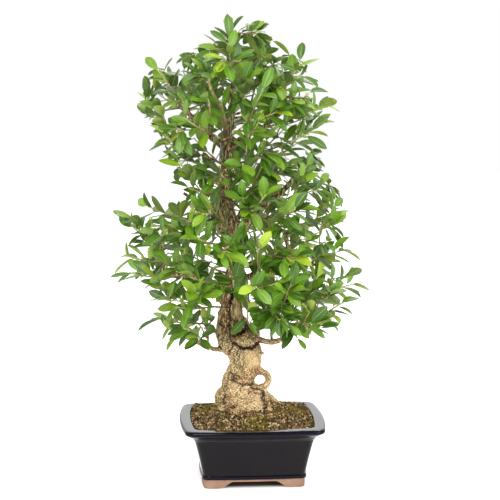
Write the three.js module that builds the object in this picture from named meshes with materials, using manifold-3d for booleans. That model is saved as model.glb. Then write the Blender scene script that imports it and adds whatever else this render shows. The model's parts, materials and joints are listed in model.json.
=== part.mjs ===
// A ficus bonsai in a glazed rectangular pot, about 0.96 m tall: an old trunk with a ring-shaped root, an
// irregular crown of alternate oval leaves, the soil, and the pot with its feet, drain holes and screens.
// Millimetres, +Z up, the front towards -Y. The tree is worked out about the middle of the pot, and at the
// end everything is shifted so that the origin is the middle of the whole outline, at the level of the feet.
import * as THREE from "three";
import { mergeVertices } from "three/addons/utils/BufferGeometryUtils.js";
import Module from "manifold-3d";

const wasm = await Module();
wasm.setup();

// Driving dimensions of the pot. A half width is measured at the corners, and the sides bow out beyond it.
const RIM_HALF_WIDTH = 140.5;
const FOOT_HALF_WIDTH = 103;
const DEPTH_LESS = 20;
const POT_HEIGHT = 130;
const SIDE_BOW = 0.068;
const CORNER_RADIUS = 14;
const RIM_WIDTH = 19;
const FLOOR_UNDERSIDE = 17;
const FLOOR_TOP = 27;
const FOOT_HEIGHT = 19;
const FOOT_THICKNESS = 15;
const ARCH_HEIGHT = 15;
const FRONT_ARCH_HALF = 73;
const SIDE_ARCH_HALF = 50;
const ARCH_LENGTH = 320;
const BELOW = -5;
const DRAIN_RADIUS = 11;
const DRAIN_OFFSET = 48;
const SCREEN_SIDE = 36;
const SCREEN_THICKNESS = 1.6;
const SCREEN_HOLES = 3;
const SCREEN_OPEN_SHARE = 0.66;

// Driving dimensions of the soil and the gap kept between pieces that touch.
const GAP = 0.3;
const SOIL_EDGE = 127;
const SOIL_MOUND = 28;
const MOUND_MIDDLE = [-4, 6];
const MOUND_REACH = [122, 106];
const SOIL_BACK_RISE = 7;
const ROOT_DIVE = 140;
const SOIL_RELIEF = 2.4;
const SOIL_BLOCK = [270, 220];

// Driving dimensions of the leafy sprays.
const OUTER_BAND = { sprays: 34, low: 298, high: 905, share: 1, turn: 0.6, climb: 0 };
const INNER_BAND = { sprays: 20, low: 345, high: 880, share: 0.62, turn: 3.7, climb: 0.5 };
const STEM_LENGTH = 88;
const STEM_RADIUS = 1.9;
const STEM_RISE = 0.12;
const WOOD_ROOM = 8;
const LEAF_REACH = 12;
const LEAF_LENGTH = [42, 55];
const LEAF_SLENDERNESS = 0.21;
const LEAF_OUTLINE = [[0, 0], [0.36, 0.96], [0.55, 0], [0.74, 0.92], [1, 0]];
const LEAF_THICKNESS = 2;
const LEAF_DROOP = 0.15;
const LEAVES = 8;
const LEAF_SPACING = 10.5;
const LEAF_TRIES = 12;
const CROWN_DEPTH = 0.86;
const FIRST_FORK = 350;
const BRANCH_STEPS = 3;
const TRUNK_PLACES = 60;
const LIMB_PLACES = 12;
const GOLDEN_ANGLE = THREE.MathUtils.degToRad(137.508);
const SEED = 20117;
const UP = new THREE.Vector3(0, 0, 1);
const RIGHT = new THREE.Vector3(1, 0, 0);

// The crown's outline seen from the front: height, then how far left and right the leaves reach.
const CROWN = [
  [275, -165, 125],
  [310, -200, 175],
  [350, -215, 205],
  [390, -236, 222],
  [430, -290, 218],
  [470, -268, 228],
  [520, -252, 208],
  [565, -235, 195],
  [600, -168, 182],
  [640, -165, 152],
  [690, -190, 150],
  [740, -218, 158],
  [790, -230, 165],
  [840, -215, 132],
  [880, -152, 106],
  [920, -98, 52],
  [950, -58, -12],
];

// The trunk from below the soil to the tip: x, y, z and radius.
const TRUNK = [
  [-12, 0, 96, 38],
  [-16, 0, 132, 44],
  [-20, -1, 160, 42],
  [-27, -2, 188, 33],
  [-27, -2, 212, 31],
  [-16, -1, 236, 33],
  [-13, 0, 258, 33.5],
  [-20, 1, 278, 36],
  [-32, 2, 298, 41],
  [-40, 3, 322, 34],
  [-44, 4, 345, 27],
  [-42, 4, 364, 22.5],
  [-41, 4, 392, 21],
  [-37, 0, 424, 19.5],
  [-33, -5, 472, 18.5],
  [-39, -7, 520, 19.5],
  [-55, -4, 560, 20],
  [-55, 2, 602, 15.5],
  [-52, 6, 642, 12.5],
  [-51, 7, 682, 12],
  [-51, 5, 712, 11],
  [-45, 1, 750, 7.5],
  [-41, -2, 788, 5.5],
  [-39, -2, 828, 3.6],
];

// The main limbs: radii where they leave the trunk and at the tip, then their points. From the lowest up:
// low left, low right, low back right, back left, middle left, middle right, middle front, the second trunk,
// high left, back middle, front middle, top left, top right and top back.
const LIMBS = [
  { radii: [7, 3.2], points: [[-50, -4, 276], [-84, -12, 279], [-112, -18, 292], [-146, -26, 310]] },
  { radii: [8, 3.6], points: [[0, -4, 298], [45, -12, 291], [84, -20, 311], [126, -24, 336]] },
  { radii: [8, 3.6], points: [[-12, 14, 306], [38, 52, 330], [80, 88, 366]] },
  { radii: [8, 3.6], points: [[-46, 10, 356], [-84, 56, 394], [-122, 86, 438]] },
  { radii: [8, 3.4], points: [[-40, 0, 396], [-96, -12, 424], [-152, -22, 436], [-188, -26, 452]] },
  { radii: [8, 3.6], points: [[-36, 0, 416], [18, -16, 436], [78, -26, 440], [128, -30, 462]] },
  { radii: [7, 3.2], points: [[-35, -6, 452], [-30, -52, 462], [-22, -98, 486]] },
  { radii: [13, 4], points: [[-38, -6, 524], [-6, -6, 546], [28, -8, 580], [64, -8, 606], [96, -4, 646]] },
  { radii: [7, 3.2], points: [[-55, -2, 566], [-98, 12, 576], [-140, 20, 600]] },
  { radii: [8, 3.4], points: [[-48, 0, 500], [-30, 56, 530], [-8, 98, 572]] },
  { radii: [7, 3.2], points: [[-54, -2, 596], [-62, -48, 620], [-58, -88, 660]] },
  { radii: [9.5, 3.4], points: [[-51, 6, 694], [-88, 2, 722], [-126, -4, 762], [-148, -8, 802]] },
  { radii: [9.5, 3.4], points: [[-51, 6, 690], [-14, -2, 716], [26, -8, 740], [72, -10, 776]] },
  { radii: [7, 3.2], points: [[-50, 4, 706], [-38, 48, 742], [-28, 84, 790]] },
];

// The surface roots: direction in degrees, how far they run, their radius and how high they leave the trunk.
const ROOTS = [
  { heading: 28, run: 100, radius: 11, rise: 52 },
  { heading: -48, run: 62, radius: 6, rise: 32 },
  { heading: -112, run: 56, radius: 15, rise: 6 },
  { heading: 168, run: 54, radius: 15, rise: 20 },
  { heading: 112, run: 60, radius: 14, rise: 16 },
  { heading: 60, run: 60, radius: 12, rise: 22 },
];

// The ring: a root that loops out of the right-hand side of the trunk and grows back into it.
const RING = { x: 15.2, y: -12, z: 213, loop: 17.6, radius: 7 };

// The swellings where old roots and branches have fused with the trunk: place and half sizes.
const SWELLINGS = [
  { at: [-17, -8, 162], half: [45, 38, 33] },
  { at: [-57, 6, 168], half: [19, 22, 26] },
  { at: [-22, -14, 208], half: [26, 24, 17] },
  { at: [-10, -22, 291], half: [27, 20, 14] },
];

// A number from 0 to 1 that depends only on the seed and the whole-number keys.
function chance(...keys) {
  let bits = SEED;
  for (const key of keys) {
    bits = Math.imul(bits ^ (key + 1), 2654435761) >>> 0;
    bits = (bits ^ (bits >>> 15)) >>> 0;
  }
  bits = Math.imul(bits, 2246822519) >>> 0;
  return ((bits ^ (bits >>> 13)) >>> 0) / 2 ** 32;
}

const vector = (list) => new THREE.Vector3(list[0], list[1], list[2]);

// The value that lies a share of the way from low to high.
const mixed = (low, high, share) => low + (high - low) * share;

// A closed geometry as a solid for cutting and joining.
function solidOf(geometry) {
  const plain = geometry.index ? geometry.toNonIndexed() : geometry.clone();
  plain.deleteAttribute("normal");
  plain.deleteAttribute("uv");
  const merged = mergeVertices(plain, 1e-4);
  const vertProperties = merged.attributes.position.array;
  const triVerts = new Uint32Array(merged.index.array);
  return new wasm.Manifold(new wasm.Mesh({ numProp: 3, vertProperties, triVerts }));
}

// A solid back as a geometry that three.js can show.
function geometryOf(solid) {
  const made = solid.getMesh();
  const places = new Float32Array(made.numVert * 3);
  for (let i = 0; i < made.numVert; i += 1) {
    places.set(made.vertProperties.subarray(i * made.numProp, i * made.numProp + 3), i * 3);
  }
  const geometry = new THREE.BufferGeometry();
  geometry.setAttribute("position", new THREE.BufferAttribute(places, 3));
  geometry.setIndex(new THREE.BufferAttribute(new Uint32Array(made.triVerts), 1));
  geometry.computeVertexNormals();
  return geometry;
}

const join = (solids) => solids.reduce((whole, next) => whole.add(next));

// Moves every vertex of a geometry by a function that changes it in place.
function reshape(geometry, change) {
  const places = geometry.attributes.position;
  const at = new THREE.Vector3();
  for (let i = 0; i < places.count; i += 1) {
    at.fromBufferAttribute(places, i);
    change(at);
    places.setXYZ(i, at.x, at.y, at.z);
  }
  return geometry;
}

// The direction square to a curve that lies nearest to a guide: by default upwards, or +X where it climbs.
function crossways(along, guide = Math.abs(along.z) > 0.9 ? RIGHT : UP) {
  return guide.clone().addScaledVector(along, -guide.dot(along)).normalize();
}

// A tapering round piece along a curve: a cylinder whose rings are carried along it without twisting.
function limbGeometry(curve, radiusAt, sides, steps) {
  const frames = [];
  let across = crossways(curve.getTangent(0));
  for (let k = 0; k <= steps; k += 1) {
    const along = curve.getTangent(k / steps);
    across = crossways(along, across);
    frames.push({ at: curve.getPoint(k / steps), across, third: across.clone().cross(along) });
  }
  return reshape(new THREE.CylinderGeometry(1, 1, 1, sides, steps), (at) => {
    const share = at.y + 0.5;
    const frame = frames[Math.round(share * steps)];
    const radius = radiusAt(share, Math.atan2(at.z, at.x));
    const { x, z } = at;
    at.copy(frame.at).addScaledVector(frame.across, x * radius).addScaledVector(frame.third, z * radius);
  });
}

const smoothCurve = (points) => new THREE.CatmullRomCurve3(points.map(vector), false, "catmullrom", 0.5);

// The pot's outline from above, with bowed sides and tight corners, at a half width of RIM_HALF_WIDTH.
function potOutline() {
  const halfWidth = RIM_HALF_WIDTH;
  const halfDepth = RIM_HALF_WIDTH - DEPTH_LESS;
  const inX = halfWidth - CORNER_RADIUS;
  const inY = halfDepth - CORNER_RADIUS;
  const shape = new THREE.Shape();
  shape.moveTo(inX, -halfDepth);
  shape.absarc(inX, -inY, CORNER_RADIUS, -Math.PI / 2, 0);
  shape.lineTo(halfWidth, 0);
  shape.absarc(inX, inY, CORNER_RADIUS, 0, Math.PI / 2);
  shape.lineTo(0, halfDepth);
  shape.absarc(-inX, inY, CORNER_RADIUS, Math.PI / 2, Math.PI);
  shape.lineTo(-halfWidth, 0);
  shape.absarc(-inX, -inY, CORNER_RADIUS, Math.PI, Math.PI * 1.5);
  shape.lineTo(0, -halfDepth);
  return shape;
}

// A solid whose level sections are the pot's outline, each level given as its height and half width.
function potLoft(levels) {
  const steps = levels.length - 1;
  const settings = { depth: steps, steps, bevelEnabled: false, curveSegments: 2 };
  const geometry = new THREE.ExtrudeGeometry(potOutline(), settings);
  return solidOf(
    reshape(geometry, (at) => {
      const [height, half] = levels[Math.round(at.z)];
      const across = at.x / RIM_HALF_WIDTH;
      const deep = at.y / (RIM_HALF_WIDTH - DEPTH_LESS);
      at.x = across * half * (1 + SIDE_BOW * (1 - deep * deep));
      at.y = deep * (half - DEPTH_LESS) * (1 + SIDE_BOW * (1 - across * across));
      at.z = height;
    }),
  );
}

// Outer levels of the pot from the feet up: foot, belt, leaning wall, cove and rounded lip.
const POT_OUTSIDE = [
  [0, FOOT_HALF_WIDTH],
  [FOOT_HEIGHT, FOOT_HALF_WIDTH + 1],
  [FOOT_HEIGHT + 0.5, 106.5],
  [26, 106.5],
  [27.5, 104.5],
  [62, 111],
  [96, 118.5],
  [108, 123.5],
  [114.5, 131],
  [116.5, 138],
  [120, RIM_HALF_WIDTH],
  [126, RIM_HALF_WIDTH],
  [POT_HEIGHT, 137],
];

// Inner levels of the pot: its floor, its wall and the inner edge of the flat rim.
const POT_INSIDE = [
  [FLOOR_TOP, 96],
  [POT_HEIGHT - 12, RIM_HALF_WIDTH - RIM_WIDTH - 2.5],
  [POT_HEIGHT + 30, RIM_HALF_WIDTH - RIM_WIDTH + 1],
];

// The opening between two feet, as a bracket-shaped arch that runs right through the pot.
function footArch(halfSpan) {
  const shape = new THREE.Shape();
  shape.moveTo(-halfSpan, BELOW);
  shape.lineTo(halfSpan, BELOW);
  shape.lineTo(halfSpan, 0.6);
  shape.lineTo(halfSpan - 9, 3.5);
  shape.lineTo(halfSpan - 18, 9);
  shape.lineTo(halfSpan - 26, ARCH_HEIGHT);
  shape.lineTo(26 - halfSpan, ARCH_HEIGHT);
  shape.lineTo(18 - halfSpan, 9);
  shape.lineTo(9 - halfSpan, 3.5);
  shape.lineTo(-halfSpan, 0.6);
  const geometry = new THREE.ExtrudeGeometry(shape, { depth: ARCH_LENGTH, steps: 1, bevelEnabled: false });
  return geometry.translate(0, 0, -ARCH_LENGTH / 2).rotateX(Math.PI / 2);
}

// The pot: the outer form less its inside, the hollow between its feet, the arches and the drain holes.
function potSolid() {
  const underside = potLoft([
    [BELOW, FOOT_HALF_WIDTH - FOOT_THICKNESS],
    [FLOOR_UNDERSIDE, FOOT_HALF_WIDTH + 1 - FOOT_THICKNESS],
  ]);
  const frontArch = solidOf(footArch(FRONT_ARCH_HALF));
  const sideArch = solidOf(footArch(SIDE_ARCH_HALF).rotateZ(Math.PI / 2));
  const drains = [-1, 1].map((side) =>
    solidOf(
      new THREE.CylinderGeometry(DRAIN_RADIUS, DRAIN_RADIUS, 40, 20)
        .rotateX(Math.PI / 2)
        .translate(side * DRAIN_OFFSET, 0, FLOOR_TOP - 10),
    ),
  );
  return [potLoft(POT_INSIDE), underside, frontArch, sideArch, ...drains].reduce(
    (pot, cut) => pot.subtract(cut),
    potLoft(POT_OUTSIDE),
  );
}

// The plastic screen that keeps the soil in over one drain hole.
function screenSolid(side) {
  const middle = [side * DRAIN_OFFSET, 0, FLOOR_TOP + GAP + SCREEN_THICKNESS / 2];
  const flat = new THREE.BoxGeometry(SCREEN_SIDE, SCREEN_SIDE, SCREEN_THICKNESS);
  const plate = solidOf(flat.translate(...middle));
  const pitch = (2 * DRAIN_RADIUS) / SCREEN_HOLES;
  const open = pitch * SCREEN_OPEN_SHARE;
  const holes = [];
  for (let i = 0; i < SCREEN_HOLES; i += 1) {
    for (let j = 0; j < SCREEN_HOLES; j += 1) {
      const x = middle[0] + (i - (SCREEN_HOLES - 1) / 2) * pitch;
      const y = (j - (SCREEN_HOLES - 1) / 2) * pitch;
      holes.push(solidOf(new THREE.BoxGeometry(open, open, 3 * SCREEN_THICKNESS).translate(x, y, middle[2])));
    }
  }
  return holes.reduce((whole, hole) => whole.subtract(hole), plate);
}

// How high the soil lies at a place: mounded towards the trunk and along the back, with a low rough relief.
function soilHeight(x, y) {
  const far = Math.hypot((x - MOUND_MIDDLE[0]) / MOUND_REACH[0], (y - MOUND_MIDDLE[1]) / MOUND_REACH[1]);
  const mound = SOIL_MOUND * Math.max(0, 1 - far * far);
  const crossed = Math.sin(x * 0.21 + y * 0.13) + Math.sin(y * 0.27 - x * 0.09 + 1.7);
  const rough = crossed + Math.sin(x * 0.11 - y * 0.19);
  const back = SOIL_BACK_RISE * THREE.MathUtils.clamp((y - 30) / 60, 0, 1);
  return SOIL_EDGE + Math.max(mound, back) + (SOIL_RELIEF * rough) / 2;
}

// The trunk's foot, as tubes and swellings that can all be made a little larger to cut the soil's hole.
function trunkFoot(extra) {
  const middle = vector(TRUNK[1]);
  const roots = ROOTS.map(({ heading, run, radius, rise }) => {
    const angle = THREE.MathUtils.degToRad(heading);
    const out = (far, height) => [middle.x + Math.cos(angle) * far, middle.y + Math.sin(angle) * far, height];
    const start = SOIL_EDGE + SOIL_MOUND + rise;
    const curve = smoothCurve([
      out(run * 0.15, start),
      out(run * 0.5, mixed(start, ROOT_DIVE, 0.4)),
      out(run * 0.85, ROOT_DIVE),
      out(run * 1.15 + extra, ROOT_DIVE - 22 - extra),
    ]);
    return solidOf(limbGeometry(curve, (share) => mixed(radius, radius * 0.42, share) + extra, 7, 5));
  });
  const swellings = SWELLINGS.map(({ at, half }) =>
    solidOf(
      new THREE.SphereGeometry(1, 9, 6)
        .rotateX(Math.PI / 2)
        .scale(half[0] + extra, half[1] + extra, half[2] + extra)
        .translate(...at),
    ),
  );
  return [...roots, ...swellings];
}

// The trunk's own tube: slightly fluted low down, where old roots have fused into it.
function trunkTube(extra) {
  const radii = TRUNK.map((knot) => knot[3]);
  const last = radii.length - 1;
  const radiusAt = (share, angle) => {
    const place = share * last;
    const below = Math.min(Math.floor(place), last - 1);
    const flute = 0.07 * Math.max(0, 1 - share * 1.8) * Math.sin(3 * angle + 9 * share);
    return mixed(radii[below], radii[below + 1], place - below) * (1 + flute) + extra;
  };
  const route = TRUNK.map(([x, y, z], knot) => [x, y, knot === 0 ? z - extra : z]);
  return solidOf(limbGeometry(smoothCurve(route), radiusAt, 12, last));
}

// The ring-shaped root, as a torus whose hole is seen from the front.
function ringSolid() {
  const torus = new THREE.TorusGeometry(RING.loop, RING.radius, 7, 14);
  return solidOf(torus.rotateX(Math.PI / 2).translate(RING.x, RING.y, RING.z));
}

// How far left and right the crown reaches at a height.
function crownAt(height) {
  const above = CROWN.findIndex((knot) => knot[0] > height);
  const upper = above < 0 ? CROWN.length - 1 : Math.max(above, 1);
  const [low, high] = [CROWN[upper - 1], CROWN[upper]];
  const share = THREE.MathUtils.clamp((height - low[0]) / (high[0] - low[0]), 0, 1);
  return [mixed(low[1], high[1], share), mixed(low[2], high[2], share)];
}

// The seats of one band of sprays: a golden spiral up the crown, whose stems rise more towards the top.
function bandSeats({ sprays, low, high, share, turn, climb }) {
  return Array.from({ length: sprays }, (_, index) => {
    const up = (index + 0.5) / sprays;
    const height = mixed(low, high, up);
    const angle = index * GOLDEN_ANGLE + turn;
    const [left, right] = crownAt(height);
    const half = Math.max((right - left) / 2 - LEAF_REACH, LEAF_REACH) * share;
    const lift = climb + mixed(-0.05, 0.4, up) + Math.max(0, up - 0.8) * 7;
    const outward = new THREE.Vector3(Math.cos(angle), Math.sin(angle) * CROWN_DEPTH, lift).normalize();
    const x = (left + right) / 2 + half * Math.cos(angle);
    const tip = new THREE.Vector3(x, half * CROWN_DEPTH * Math.sin(angle), height);
    return { at: tip.addScaledVector(outward, -STEM_LENGTH), outward };
  });
}

// Places spaced evenly along a curve, with the radius at each.
function placesAlong(curve, steps, radiusAt) {
  return Array.from({ length: steps + 1 }, (_, k) => {
    return { at: curve.getPoint(k / steps), radius: radiusAt(k / steps) };
  });
}

const trunkPlaces = () =>
  placesAlong(smoothCurve(TRUNK), TRUNK_PLACES, (share) => TRUNK[Math.floor(share * (TRUNK.length - 1))][3]);

const limbPlaces = ({ radii, points }) =>
  placesAlong(smoothCurve(points), LIMB_PLACES, (share) => mixed(radii[0], radii[1], share));

// Where the sprays sit: one band on the crown's outline, one inside it, and one spray on the trunk's tip.
// A seat whose stem would run into the trunk or a limb is left out.
function spraySeats() {
  const thickWood = [...trunkPlaces(), ...LIMBS.flatMap(limbPlaces)];
  const isClear = (seat) => {
    const stem = sprayStem(seat);
    const marks = [0.2, 0.4, 0.6, 0.8, 1].map((share) => stem.getPoint(share));
    const clearOf = ({ at, radius }) => marks.every((mark) => mark.distanceTo(at) > radius + WOOD_ROOM);
    return thickWood.every(clearOf);
  };
  const tip = vector(TRUNK[TRUNK.length - 1]);
  const top = { at: tip.addScaledVector(UP, 8), outward: new THREE.Vector3(-0.08, 0, 1).normalize() };
  return [...[...bandSeats(OUTER_BAND), ...bandSeats(INNER_BAND)].filter(isClear), top];
}

// All wood above the foot: limbs along their curves, then a branch to each spray from the nearest fit wood.
function growWood(seats) {
  const trunk = smoothCurve(TRUNK);
  const [, , topHeight, topRadius] = TRUNK[TRUNK.length - 1];
  const wood = LIMBS.map(({ radii, points }) => {
    const curve = smoothCurve(points);
    return { curve, radiusAt: (share) => mixed(radii[0], radii[1], share ** 0.8), sides: 4, steps: 5 };
  });
  const anchors = [];
  for (let k = 0; k <= 40; k += 1) {
    const at = trunk.getPoint(k / 40);
    if (at.z > FIRST_FORK) {
      const share = (at.z - FIRST_FORK) / (topHeight - FIRST_FORK);
      anchors.push({ at, radius: mixed(16, topRadius, share) });
    }
  }
  for (const limb of wood) {
    for (let k = 3; k <= 10; k += 1) {
      anchors.push({ at: limb.curve.getPoint(k / 10), radius: limb.radiusAt(k / 10) });
    }
  }
  const reach = ({ at }) => Math.hypot(at.x + 40, at.y);
  for (const seat of [...seats].sort((a, b) => reach(a) - reach(b))) {
    const cost = (anchor) => {
      const downward = Math.max(0, anchor.at.z - seat.at.z + 12);
      const inward = Math.max(0, reach(anchor) - reach(seat) + 10);
      return anchor.at.distanceTo(seat.at) + 2 * downward + 2 * inward;
    };
    const from = anchors.reduce((best, anchor) => (cost(anchor) < cost(best) ? anchor : best));
    const far = from.at.distanceTo(seat.at);
    const leave = seat.at.clone().sub(from.at).normalize();
    const curve = new THREE.CubicBezierCurve3(
      from.at.clone(),
      from.at.clone().addScaledVector(leave, far * 0.35).addScaledVector(UP, -far * 0.08),
      seat.at.clone().addScaledVector(seat.outward, -far * 0.35),
      seat.at.clone(),
    );
    const base = Math.min(from.radius * 0.85, 2 + far * 0.016);
    const radiusAt = (share) => mixed(base, Math.min(base, STEM_RADIUS + 0.3), share);
    wood.push({ curve, radiusAt, sides: 3, steps: BRANCH_STEPS });
    for (let k = 1; k < BRANCH_STEPS; k += 1) {
      anchors.push({ at: curve.getPoint(k / BRANCH_STEPS), radius: radiusAt(k / BRANCH_STEPS) });
    }
  }
  return wood;
}

// The direction out of one of the three flat sides of a stem, at a share of its length.
function sideOf(stem, share, which) {
  const along = stem.getTangent(share);
  const across = crossways(along, crossways(stem.getTangent(0)));
  const third = across.clone().cross(along);
  const angle = ((1 + 4 * which) * Math.PI) / 6;
  return across.multiplyScalar(Math.cos(angle)).addScaledVector(third, Math.sin(angle));
}

// The stem of a spray, which bends up a little.
function sprayStem({ at, outward }) {
  const start = at.clone().addScaledVector(outward, GAP);
  const middle = start.clone().addScaledVector(outward, STEM_LENGTH * 0.5);
  const end = start.clone().addScaledVector(outward, STEM_LENGTH);
  end.addScaledVector(UP, STEM_LENGTH * STEM_RISE);
  return new THREE.QuadraticBezierCurve3(start, middle, end);
}

// One leaf's frame: where it starts, the way it points, the way its face looks, and its size.
function leafPose(seat, stem, keys, attempt) {
  const share = 1 - (LEAF_SPACING * (keys[1] + 0.3)) / stem.getLength();
  const open = mixed(0.6, 1, chance(...keys, 2)) + (attempt % 4) * 0.1;
  const turn = keys[0] + keys[1] + attempt;
  const axis = stem.getTangent(share).multiplyScalar(Math.cos(open));
  axis.addScaledVector(sideOf(stem, share, turn), Math.sin(open));
  axis.addScaledVector(UP, 0.16 * chance(...keys, 3) - 0.1).normalize();
  const look = new THREE.Vector3(
    seat.outward.x * 0.7 + chance(...keys, 4) - 0.5,
    seat.outward.y * 0.7 + chance(...keys, 5) - 0.5,
    0.75 + 0.4 * seat.outward.z,
  );
  const face = crossways(axis, look);
  const length = mixed(...LEAF_LENGTH, chance(...keys, 6));
  return { from: stem.getPoint(share), axis, face, length, half: length * LEAF_SLENDERNESS };
}

// Points spread over a leaf's blade, which stand for it where leaves are kept apart.
function leafMarks({ from, axis, face, length, half }) {
  const side = axis.clone().cross(face);
  const mark = (far, across) => {
    const middle = from.clone().addScaledVector(axis, length * far);
    return middle.addScaledVector(side, half * across);
  };
  return [mark(0.34, 0), mark(0.52, 0.6), mark(0.52, -0.6), mark(0.76, 0.5), mark(0.76, -0.5), mark(1, 0)];
}

// Every kept leaf of every spray, turned on its twig until it is clear of the others and of the wood.
function growLeaves(seats, stems, wood) {
  const woodMarks = wood.flatMap(({ curve, radiusAt }) =>
    [0.1, 0.25, 0.4, 0.55, 0.7, 0.85, 1].map((share) => {
      return { at: curve.getPoint(share), apart: 6 + radiusAt(share) };
    }),
  );
  woodMarks.push(...trunkPlaces().map(({ at, radius }) => ({ at, apart: 8 + radius })));
  const stemMarks = stems.flatMap((stem, index) =>
    [0, 0.2, 0.4, 0.6, 0.8, 1].map((share) => ({ at: stem.getPoint(share), index })),
  );
  const leafMarksSoFar = [];
  const leaves = stems.map(() => []);
  stems.forEach((stem, index) => {
    for (let which = 0; which < LEAVES; which += 1) {
      for (let attempt = 0; attempt < LEAF_TRIES; attempt += 1) {
        const pose = leafPose(seats[index], stem, [index, which], attempt);
        const marks = leafMarks(pose);
        const free = marks.every(
          (mark) =>
            woodMarks.every(({ at, apart }) => mark.distanceTo(at) > apart) &&
            stemMarks.every((other) => mark.distanceTo(other.at) > (other.index === index ? 5 : 9)) &&
            leafMarksSoFar.every((other) => mark.distanceTo(other.at) > (other.index === index ? 8 : 13)),
        );
        if (free) {
          leaves[index].push(pose);
          leafMarksSoFar.push(...marks.map((at) => ({ at, index })));
          break;
        }
      }
    }
  });
  return leaves;
}

// One leaf as a thin arched lens of six corners, whose narrow root is sunk in its twig. The outline's third
// row is the middle of its two faces.
function leafSolid({ from, axis, face, length, half }) {
  const lens = new THREE.SphereGeometry(1, 6, 2).rotateX(Math.PI / 2).rotateZ(Math.PI / 2);
  const blade = reshape(lens, (at) => {
    const [share, width] = LEAF_OUTLINE[Math.round(at.y * 2) + 2];
    at.x = Math.sign(Math.round(at.x * 2)) * half * width;
    at.y = length * share;
    at.z = (at.z * LEAF_THICKNESS) / 2 - LEAF_DROOP * length * share * share;
  });
  const placed = new THREE.Matrix4().makeBasis(axis.clone().cross(face), axis, face).setPosition(from);
  return solidOf(blade.applyMatrix4(placed));
}

// One spray: its stem, pointed towards the tip, and the leaves that grow from it.
function spraySolid(stem, leaves) {
  const tube = limbGeometry(stem, (share) => STEM_RADIUS * (1 - 0.3 * share), 3, 2);
  return join([solidOf(tube), ...leaves.map(leafSolid)]);
}

// The soil: what fills the pot under the mounded surface, less the trunk's hole and the room of the screens.
function soilSolid(trunkHole) {
  const filled = potLoft(
    POT_INSIDE.map(([height, half], level) => [level === 0 ? height + GAP : height, half - GAP]),
  );
  const block = new THREE.BoxGeometry(...SOIL_BLOCK, 2, 9, 7, 1);
  const top = reshape(block, (at) => {
    at.z = at.z > 0 ? soilHeight(at.x, at.y) : 0;
  });
  const room = SCREEN_SIDE + 2 * GAP;
  const screenRoom = [-1, 1].map((side) => {
    const box = new THREE.BoxGeometry(room, room, 2 * (SCREEN_THICKNESS + 2 * GAP));
    return solidOf(box.translate(side * DRAIN_OFFSET, 0, FLOOR_TOP));
  });
  const mounded = filled.intersect(solidOf(top));
  return [...trunkHole, ...screenRoom].reduce((soil, cut) => soil.subtract(cut), mounded);
}

const finish = (color, roughness) => new THREE.MeshStandardMaterial({ color, roughness, metalness: 0 });
const GLAZE = finish(0x2c2c33, 0.25);
const SCREEN_PLASTIC = finish(0x1f2220, 0.6);
const SOIL = finish(0x6e5a3c, 0.95);
const BARK = finish(0xa88f66, 0.85);
const FOLIAGE = finish(0x4f7f2c, 0.45);

const bonsai = new THREE.Group();

function addNode(name, solid, material) {
  const mesh = new THREE.Mesh(geometryOf(solid), material);
  mesh.name = name;
  bonsai.add(mesh);
}

const seats = spraySeats();
const wood = growWood(seats);
const stems = seats.map(sprayStem);
const leaves = growLeaves(seats, stems, wood);
const branches = wood.map(({ curve, radiusAt, sides, steps }) =>
  solidOf(limbGeometry(curve, radiusAt, sides, steps)),
);

addNode("pot", potSolid(), GLAZE);
addNode("drain_screen_left", screenSolid(-1), SCREEN_PLASTIC);
addNode("drain_screen_right", screenSolid(1), SCREEN_PLASTIC);
addNode("soil", soilSolid([trunkTube(GAP), ...trunkFoot(GAP)]), SOIL);
addNode("trunk", join([trunkTube(0), ...trunkFoot(0), ringSolid(), ...branches]), BARK);
seats.forEach((_, index) => {
  const name = `spray_${String(index + 1).padStart(2, "0")}`;
  addNode(name, spraySolid(stems[index], leaves[index]), FOLIAGE);
});

// The origin goes to the middle of the whole outline, at the level of the feet.
const outline = new THREE.Box3().setFromObject(bonsai, true);
const middle = outline.getCenter(new THREE.Vector3());
bonsai.position.set(-middle.x, -middle.y, 0);

const part = new THREE.Group();
part.add(bonsai);

export default part;
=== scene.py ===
# %% [markdown]
# # A ficus bonsai in a glazed pot
#
# This file dresses a plain model of a bonsai tree: a gnarled trunk with a ring-shaped root, branches,
# leafy shoots, grit with moss, and a dark glazed pot on clay feet. The plain model is loaded first and
# never moved. It gives the real size and place of each piece, in metres, and every piece made here goes
# where it says.

# %% Load the plain model
import json
import math

import bmesh
import bpy
import numpy as np
from mathutils import Matrix, Vector, noise

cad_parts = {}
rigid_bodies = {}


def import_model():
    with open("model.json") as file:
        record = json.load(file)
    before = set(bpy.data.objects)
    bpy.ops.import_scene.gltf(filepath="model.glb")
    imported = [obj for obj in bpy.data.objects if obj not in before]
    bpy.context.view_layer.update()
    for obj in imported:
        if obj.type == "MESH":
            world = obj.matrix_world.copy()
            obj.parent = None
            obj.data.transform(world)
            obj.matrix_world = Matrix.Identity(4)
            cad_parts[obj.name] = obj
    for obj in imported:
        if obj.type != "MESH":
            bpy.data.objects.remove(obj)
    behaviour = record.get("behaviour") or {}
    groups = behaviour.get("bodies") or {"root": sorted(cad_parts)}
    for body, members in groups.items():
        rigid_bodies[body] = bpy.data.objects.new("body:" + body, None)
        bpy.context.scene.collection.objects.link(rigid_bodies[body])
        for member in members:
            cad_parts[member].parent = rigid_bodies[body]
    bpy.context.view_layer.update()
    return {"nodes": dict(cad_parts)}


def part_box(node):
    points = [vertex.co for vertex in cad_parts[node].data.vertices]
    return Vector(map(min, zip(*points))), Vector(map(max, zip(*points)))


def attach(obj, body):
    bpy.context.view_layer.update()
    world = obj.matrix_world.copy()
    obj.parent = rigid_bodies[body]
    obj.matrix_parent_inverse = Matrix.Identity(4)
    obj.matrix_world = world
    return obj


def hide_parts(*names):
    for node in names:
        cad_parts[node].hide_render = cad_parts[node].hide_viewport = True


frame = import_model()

sprays = sorted(name for name in frame["nodes"] if name.startswith("spray_"))
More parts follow.
